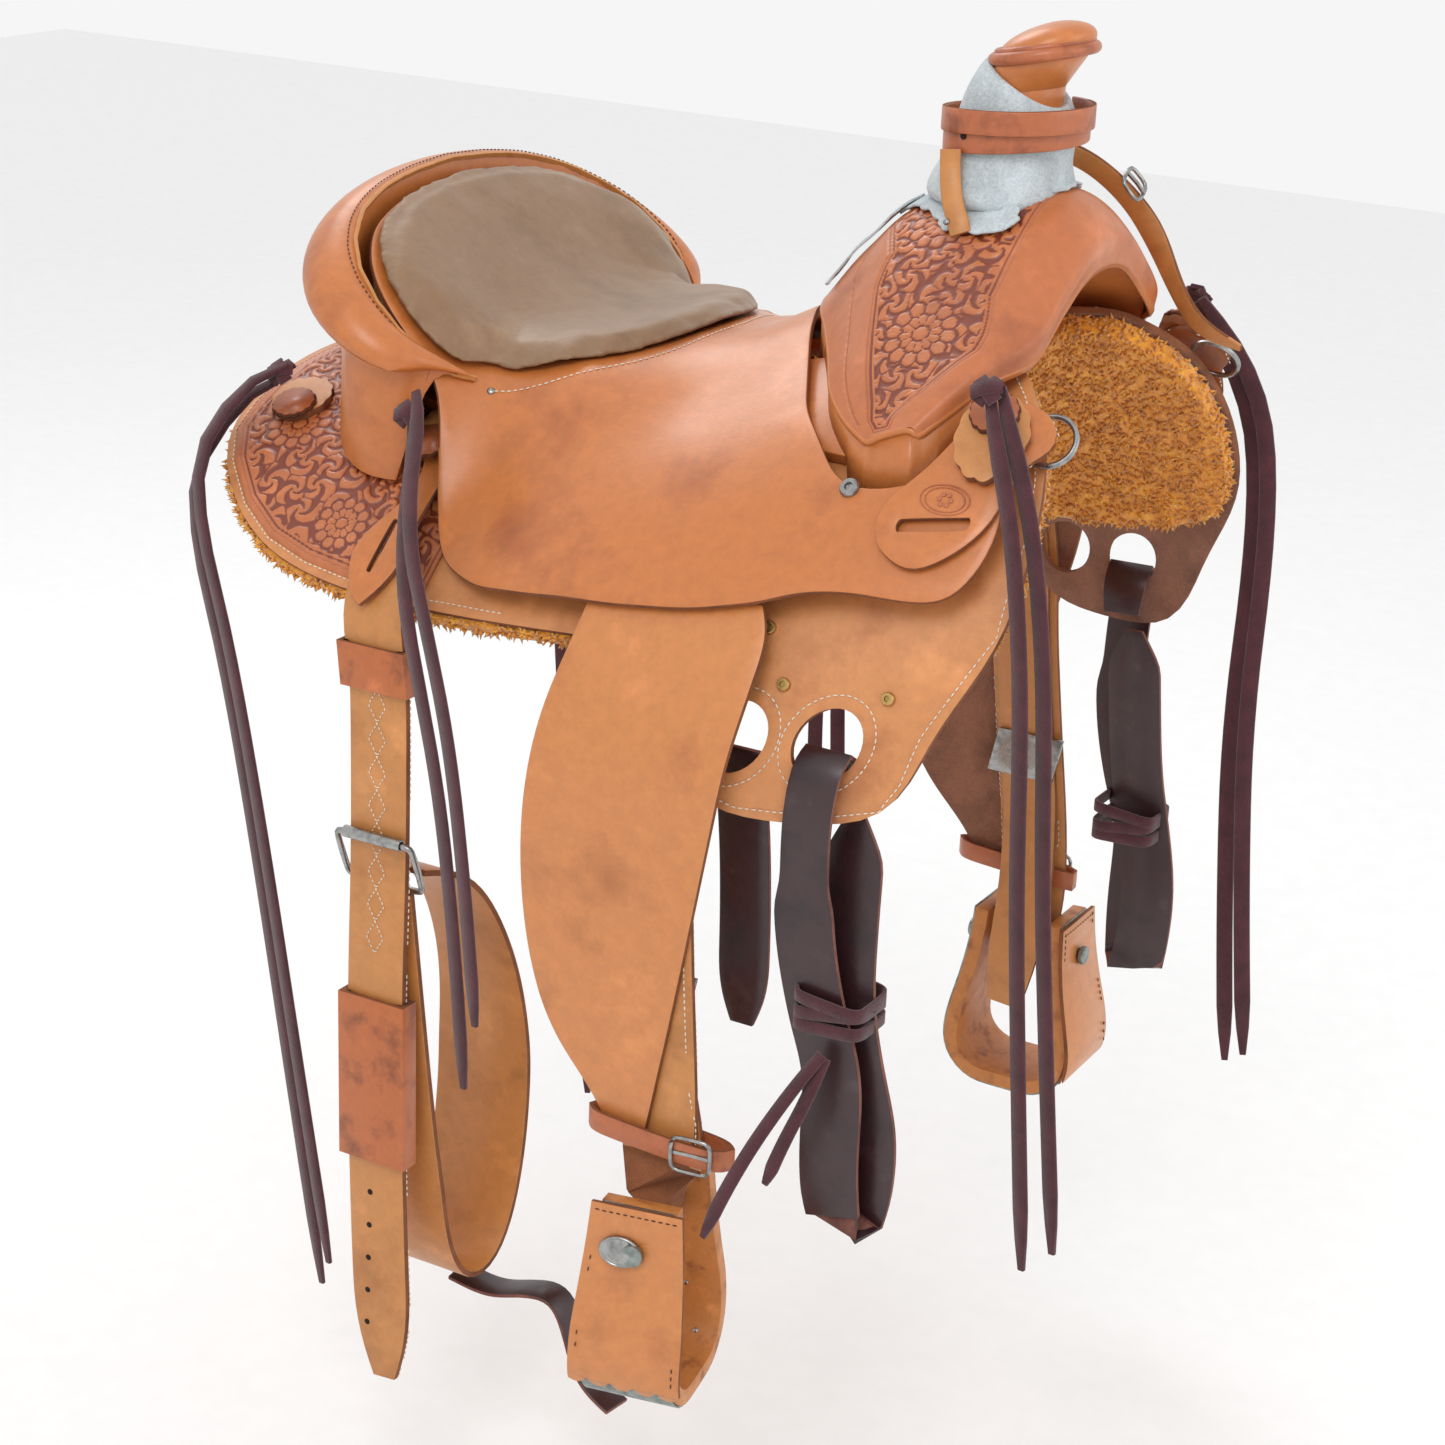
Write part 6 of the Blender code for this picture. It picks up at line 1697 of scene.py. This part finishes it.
def make_latigo(side, word):
    """Latigo with the thong that ties its folds."""
    node = "latigo_" + word
    refined(node, look("latigo"), rim=look("latigo edge"), levels=1, slot="leather_dark")
    low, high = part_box(node)
    body = body_of(node)
    middle = (low + high) / 2
    z = low.z + (high.z - low.z) * (0.48 if side < 0 else 0.38)
    out = max(abs(low.y), abs(high.y))
    inn = min(abs(low.y), abs(high.y))
    parts = []
    for i, (rise, lean) in enumerate(((0.0, 0.16), (0.009, -0.10), (-0.010, 0.05))):
        ring = []
        for t in np.linspace(0, 2 * math.pi, 41)[:-1]:
            cx, cy = math.cos(t), math.sin(t)
            x = 0.0262 * np.sign(cx) * abs(cx) ** 0.35
            y = ((out - inn) / 2 + 0.0030) * np.sign(cy) * abs(cy) ** 0.35
            ring.append((middle.x + x, side * ((out + inn) / 2 + y), z + rise + lean * x + 0.01 * lean * cy))
        ring.append(ring[0])
        parts.append(band(node + "_wrap" + str(i), ring, (0, 0, 1), 0.0095, 0.0028, look("thong")))
    if side < 0:
        tails = ([(0.250, -0.290, -0.350), (0.238, -0.306, -0.372), (0.220, -0.324, -0.410), (0.204, -0.336, -0.450),
                  (0.192, -0.342, -0.486)],
                 [(0.252, -0.290, -0.352), (0.247, -0.304, -0.380), (0.238, -0.318, -0.410), (0.230, -0.326, -0.440)])
    else:
        base = (middle.x - 0.004, side * out, z)
        tails = ([base, (base[0] + 0.012, base[1] + 0.010, z - 0.030), (base[0] + 0.022, base[1] + 0.012, z - 0.075),
                  (base[0] + 0.030, base[1] + 0.010, z - 0.120)],)
    for i, tail in enumerate(tails):
        path = smooth_path(tail, 24)
        width = np.full(24, 0.0105)
        width[-3:] = (0.0090, 0.0070, 0.0045)
        parts.append(band(node + "_tail" + str(i), path, (1.0, 0.0, 0.35), width, 0.0028, look("thong")))
    wear(joined(node + "_thong", parts), body, "string_leather")


def make_strings(side, word):
    """Three pairs of strings, each pair lying on its own line and its second string spread from the first."""
    for name, line, spread in (("front_string_", FRONT_STRING, (0.018, -0.010, 0.014)),
                               ("jockey_string_", JOCKEY_STRING, (0.016, 0.010, 0.060)),
                               ("cantle_string_", CANTLE_STRING, (0.016, 0.012, 0.030))):
        line = mirrored(line, side)
        spread = np.array(spread) * (1, side, 1)
        for tail, shift in (("a", 0.0), ("b", 1.0)):
            route = line + spread * np.linspace(0.35, 1, len(line))[:, None] * shift
            path = smooth_path(route, 28)
            width = np.full(len(path), STRING_W)
            width[0] *= 0.55
            width[1] *= 0.85
            width[-2] *= 0.8
            width[-1] *= 0.4
            thong = band(name + word + "_" + tail, path, (1.0, side * 0.25, 0.0), width, STRING_T, look("thong"))
            wear(thong, "saddle", "string_leather", name + word)


def make_cinch():
    """Rear billet with its holes, diamonds of thread, sleeves and buckle, the cinch and its connecting strap."""
    for node, finish, slot in (("flank_billet", "strap", "leather_tan"), ("flank_cinch", "strap", "leather_tan"),
                               ("billet_keeper", "sleeve", "leather_russet"),
                               ("billet_sleeve", "sleeve", "leather_russet"),
                               ("connector_strap", "latigo", "leather_dark")):
        refined(node, look(finish), rim=look("edge" if finish != "latigo" else "latigo edge"), levels=1, slot=slot)
    sew_edges("flank_billet", 0.0050, side=-1, thick=0.008)
    low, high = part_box("flank_billet")
    # The billet's holes are flat, nearly black domes: painted shade.
    punched("billet_hole_shades", body_of("flank_billet"), "leather_tan", "flank_billet",
            [((low.x + high.x) / 2 + 0.002, z) for z in np.arange(low.z + 0.045, low.z + 0.20, 0.028)], -1)
    diamonds = []
    x = (low.x + high.x) / 2
    tree = surface("flank_billet")
    for z in np.arange(-0.36, -0.16, 0.026):
        line = []
        for u, v in ((0, 1), (1, 0), (0, -1), (-1, 0), (0, 1)):
            hit = tree.ray_cast(Vector((x + u * 0.0075, -0.6, z + v * 0.0125)), Vector((0, 1, 0)))
            if hit[0] is not None:
                line.append(hit[0] + hit[1] * 0.0004)
        if len(line) == 5:
            diamonds.append(along(line, 0.0025))
    sewn("billet_diamonds", body_of("flank_billet"), "leather_tan", diamonds, spacing=0.0036)
    sew_edges("billet_sleeve", 0.0040, side=-1, slot="leather_russet", finish="dark thread")
    for node in ("flank_buckle", "flank_roller"):
        refined(node, look("nickel"), levels=1, slot="nickel", bevel=0.0005)


# ---- stage ----
AIM = Vector((0.0, 0.0, -0.25))
AZIMUTH = 28.975
ELEVATION = 20.317
ROLL = 2.586
DISTANCE = 2.370
LENS = 74.81
FLOOR = -0.86
FLOOR_HALF = 6.0
SKY = 0.92
# Each lamp: its place, the width of its disc in metres and its power in watts.
LAMPS = (("Key", (0.5, -2.0, 1.9), 1.3, 21.0), ("Fill", (2.2, 0.2, 0.7), 1.6, 8.0),
         ("Rim", (-1.6, 1.2, 1.9), 1.2, 14.0))


class SADDLE_OT_stage(bpy.types.Operator):
    """Pale floor, soft studio light and the camera."""

    bl_idname = "saddle.stage"
    bl_label = "Stage"

    def execute(self, context):
        make_stage()
        return {"FINISHED"}


def make_stage():
    """A pale floor, an even sky, three soft lamps and the camera."""
    corners = [(x * FLOOR_HALF, y * FLOOR_HALF, FLOOR) for x, y in ((-1, -1), (1, -1), (1, 1), (-1, 1))]
    floor = piece("studio_floor", corners, [(0, 1, 2, 3)], smooth=False)
    paint, tree, shader, place = begin("Studio paint")
    grain = add(tree, "ShaderNodeTexNoise", (-900, 0), Vector=place, Scale=40.0, Detail=3.0)
    tone = add(tree, RAMP, (-500, 0), Fac=grain.outputs["Fac"], stops=[(0.3, 0.90), (0.7, 0.92)])
    tree.links.new(tone.outputs[0], shader.inputs["Base Color"])
    shader.inputs["Roughness"].default_value = 0.9
    floor.data.materials.append(paint)
    scene = bpy.context.scene
    world = bpy.data.worlds.new("Studio")
    world.use_nodes = True
    world.node_tree.nodes["Background"].inputs[0].default_value = (1.0, 1.0, 1.0, 1)
    world.node_tree.nodes["Background"].inputs[1].default_value = SKY
    scene.world = world
    scene.view_settings.view_transform = "Standard"
    for name, place, size, power in LAMPS:
        lamp = bpy.data.lights.new(name, "AREA")
        lamp.shape = "DISK"
        lamp.size = size
        lamp.energy = power
        made = bpy.data.objects.new(name, lamp)
        made.location = place
        made.rotation_euler = (AIM - Vector(place)).to_track_quat("-Z", "Y").to_euler()
        scene.collection.objects.link(made)
    turn, rise, roll = map(math.radians, (AZIMUTH, ELEVATION, ROLL))
    right = Vector((math.cos(turn), math.sin(turn), 0))
    back = Vector((math.sin(turn) * math.cos(rise), -math.cos(turn) * math.cos(rise), math.sin(rise)))
    up = back.cross(right)
    across = right * math.cos(roll) + up * math.sin(roll)
    upright = up * math.cos(roll) - right * math.sin(roll)
    lens = bpy.data.cameras.new("Camera")
    lens.lens = LENS
    lens.sensor_width = 36.0
    lens.clip_end = 50.0
    camera = bpy.data.objects.new("Camera", lens)
    turned_to = Matrix((across, upright, back)).transposed().to_4x4()
    camera.matrix_world = Matrix.Translation(AIM + back * DISTANCE) @ turned_to
    scene.collection.objects.link(camera)
    scene.camera = camera


class SADDLE_PT_panel(bpy.types.Panel):
    """Lists the saddle's steps."""

    bl_idname = "SADDLE_PT_panel"
    bl_label = "Western saddle"
    bl_space_type = "VIEW_3D"
    bl_region_type = "UI"
    bl_category = "Saddle"

    def draw(self, context):
        for group in (context.scene.saddle_colours, context.scene.saddle_sizes):
            for name in group.__annotations__:
                self.layout.prop(group, name)
        for step in STEPS:
            self.layout.operator(step.bl_idname)


STEPS = (SADDLE_OT_stage, SADDLE_OT_strings, SADDLE_OT_lining, SADDLE_OT_skirts, SADDLE_OT_seat, SADDLE_OT_cantle,
         SADDLE_OT_swells, SADDLE_OT_horn, SADDLE_OT_rigging, SADDLE_OT_fenders, SADDLE_OT_stirrups, SADDLE_OT_ties,
         SADDLE_OT_cinch)


def register():
    """Adds the panel's settings and the steps."""
    for group in (SaddleColours, SaddleSizes) + STEPS + (SADDLE_PT_panel,):
        bpy.utils.register_class(group)
    bpy.types.Scene.saddle_colours = bpy.props.PointerProperty(type=SaddleColours)
    bpy.types.Scene.saddle_sizes = bpy.props.PointerProperty(type=SaddleSizes)


def unregister():
    """Takes the panel's settings and the steps away again."""
    del bpy.types.Scene.saddle_sizes
    del bpy.types.Scene.saddle_colours
    for group in (SADDLE_PT_panel,) + STEPS[::-1] + (SaddleSizes, SaddleColours):
        bpy.utils.unregister_class(group)


def main():
    """Builds the saddle step by step."""
    register()
    for step in STEPS:
        getattr(bpy.ops.saddle, step.bl_idname.split(".")[1])()
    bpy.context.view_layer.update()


if __name__ == "__main__":
    main()
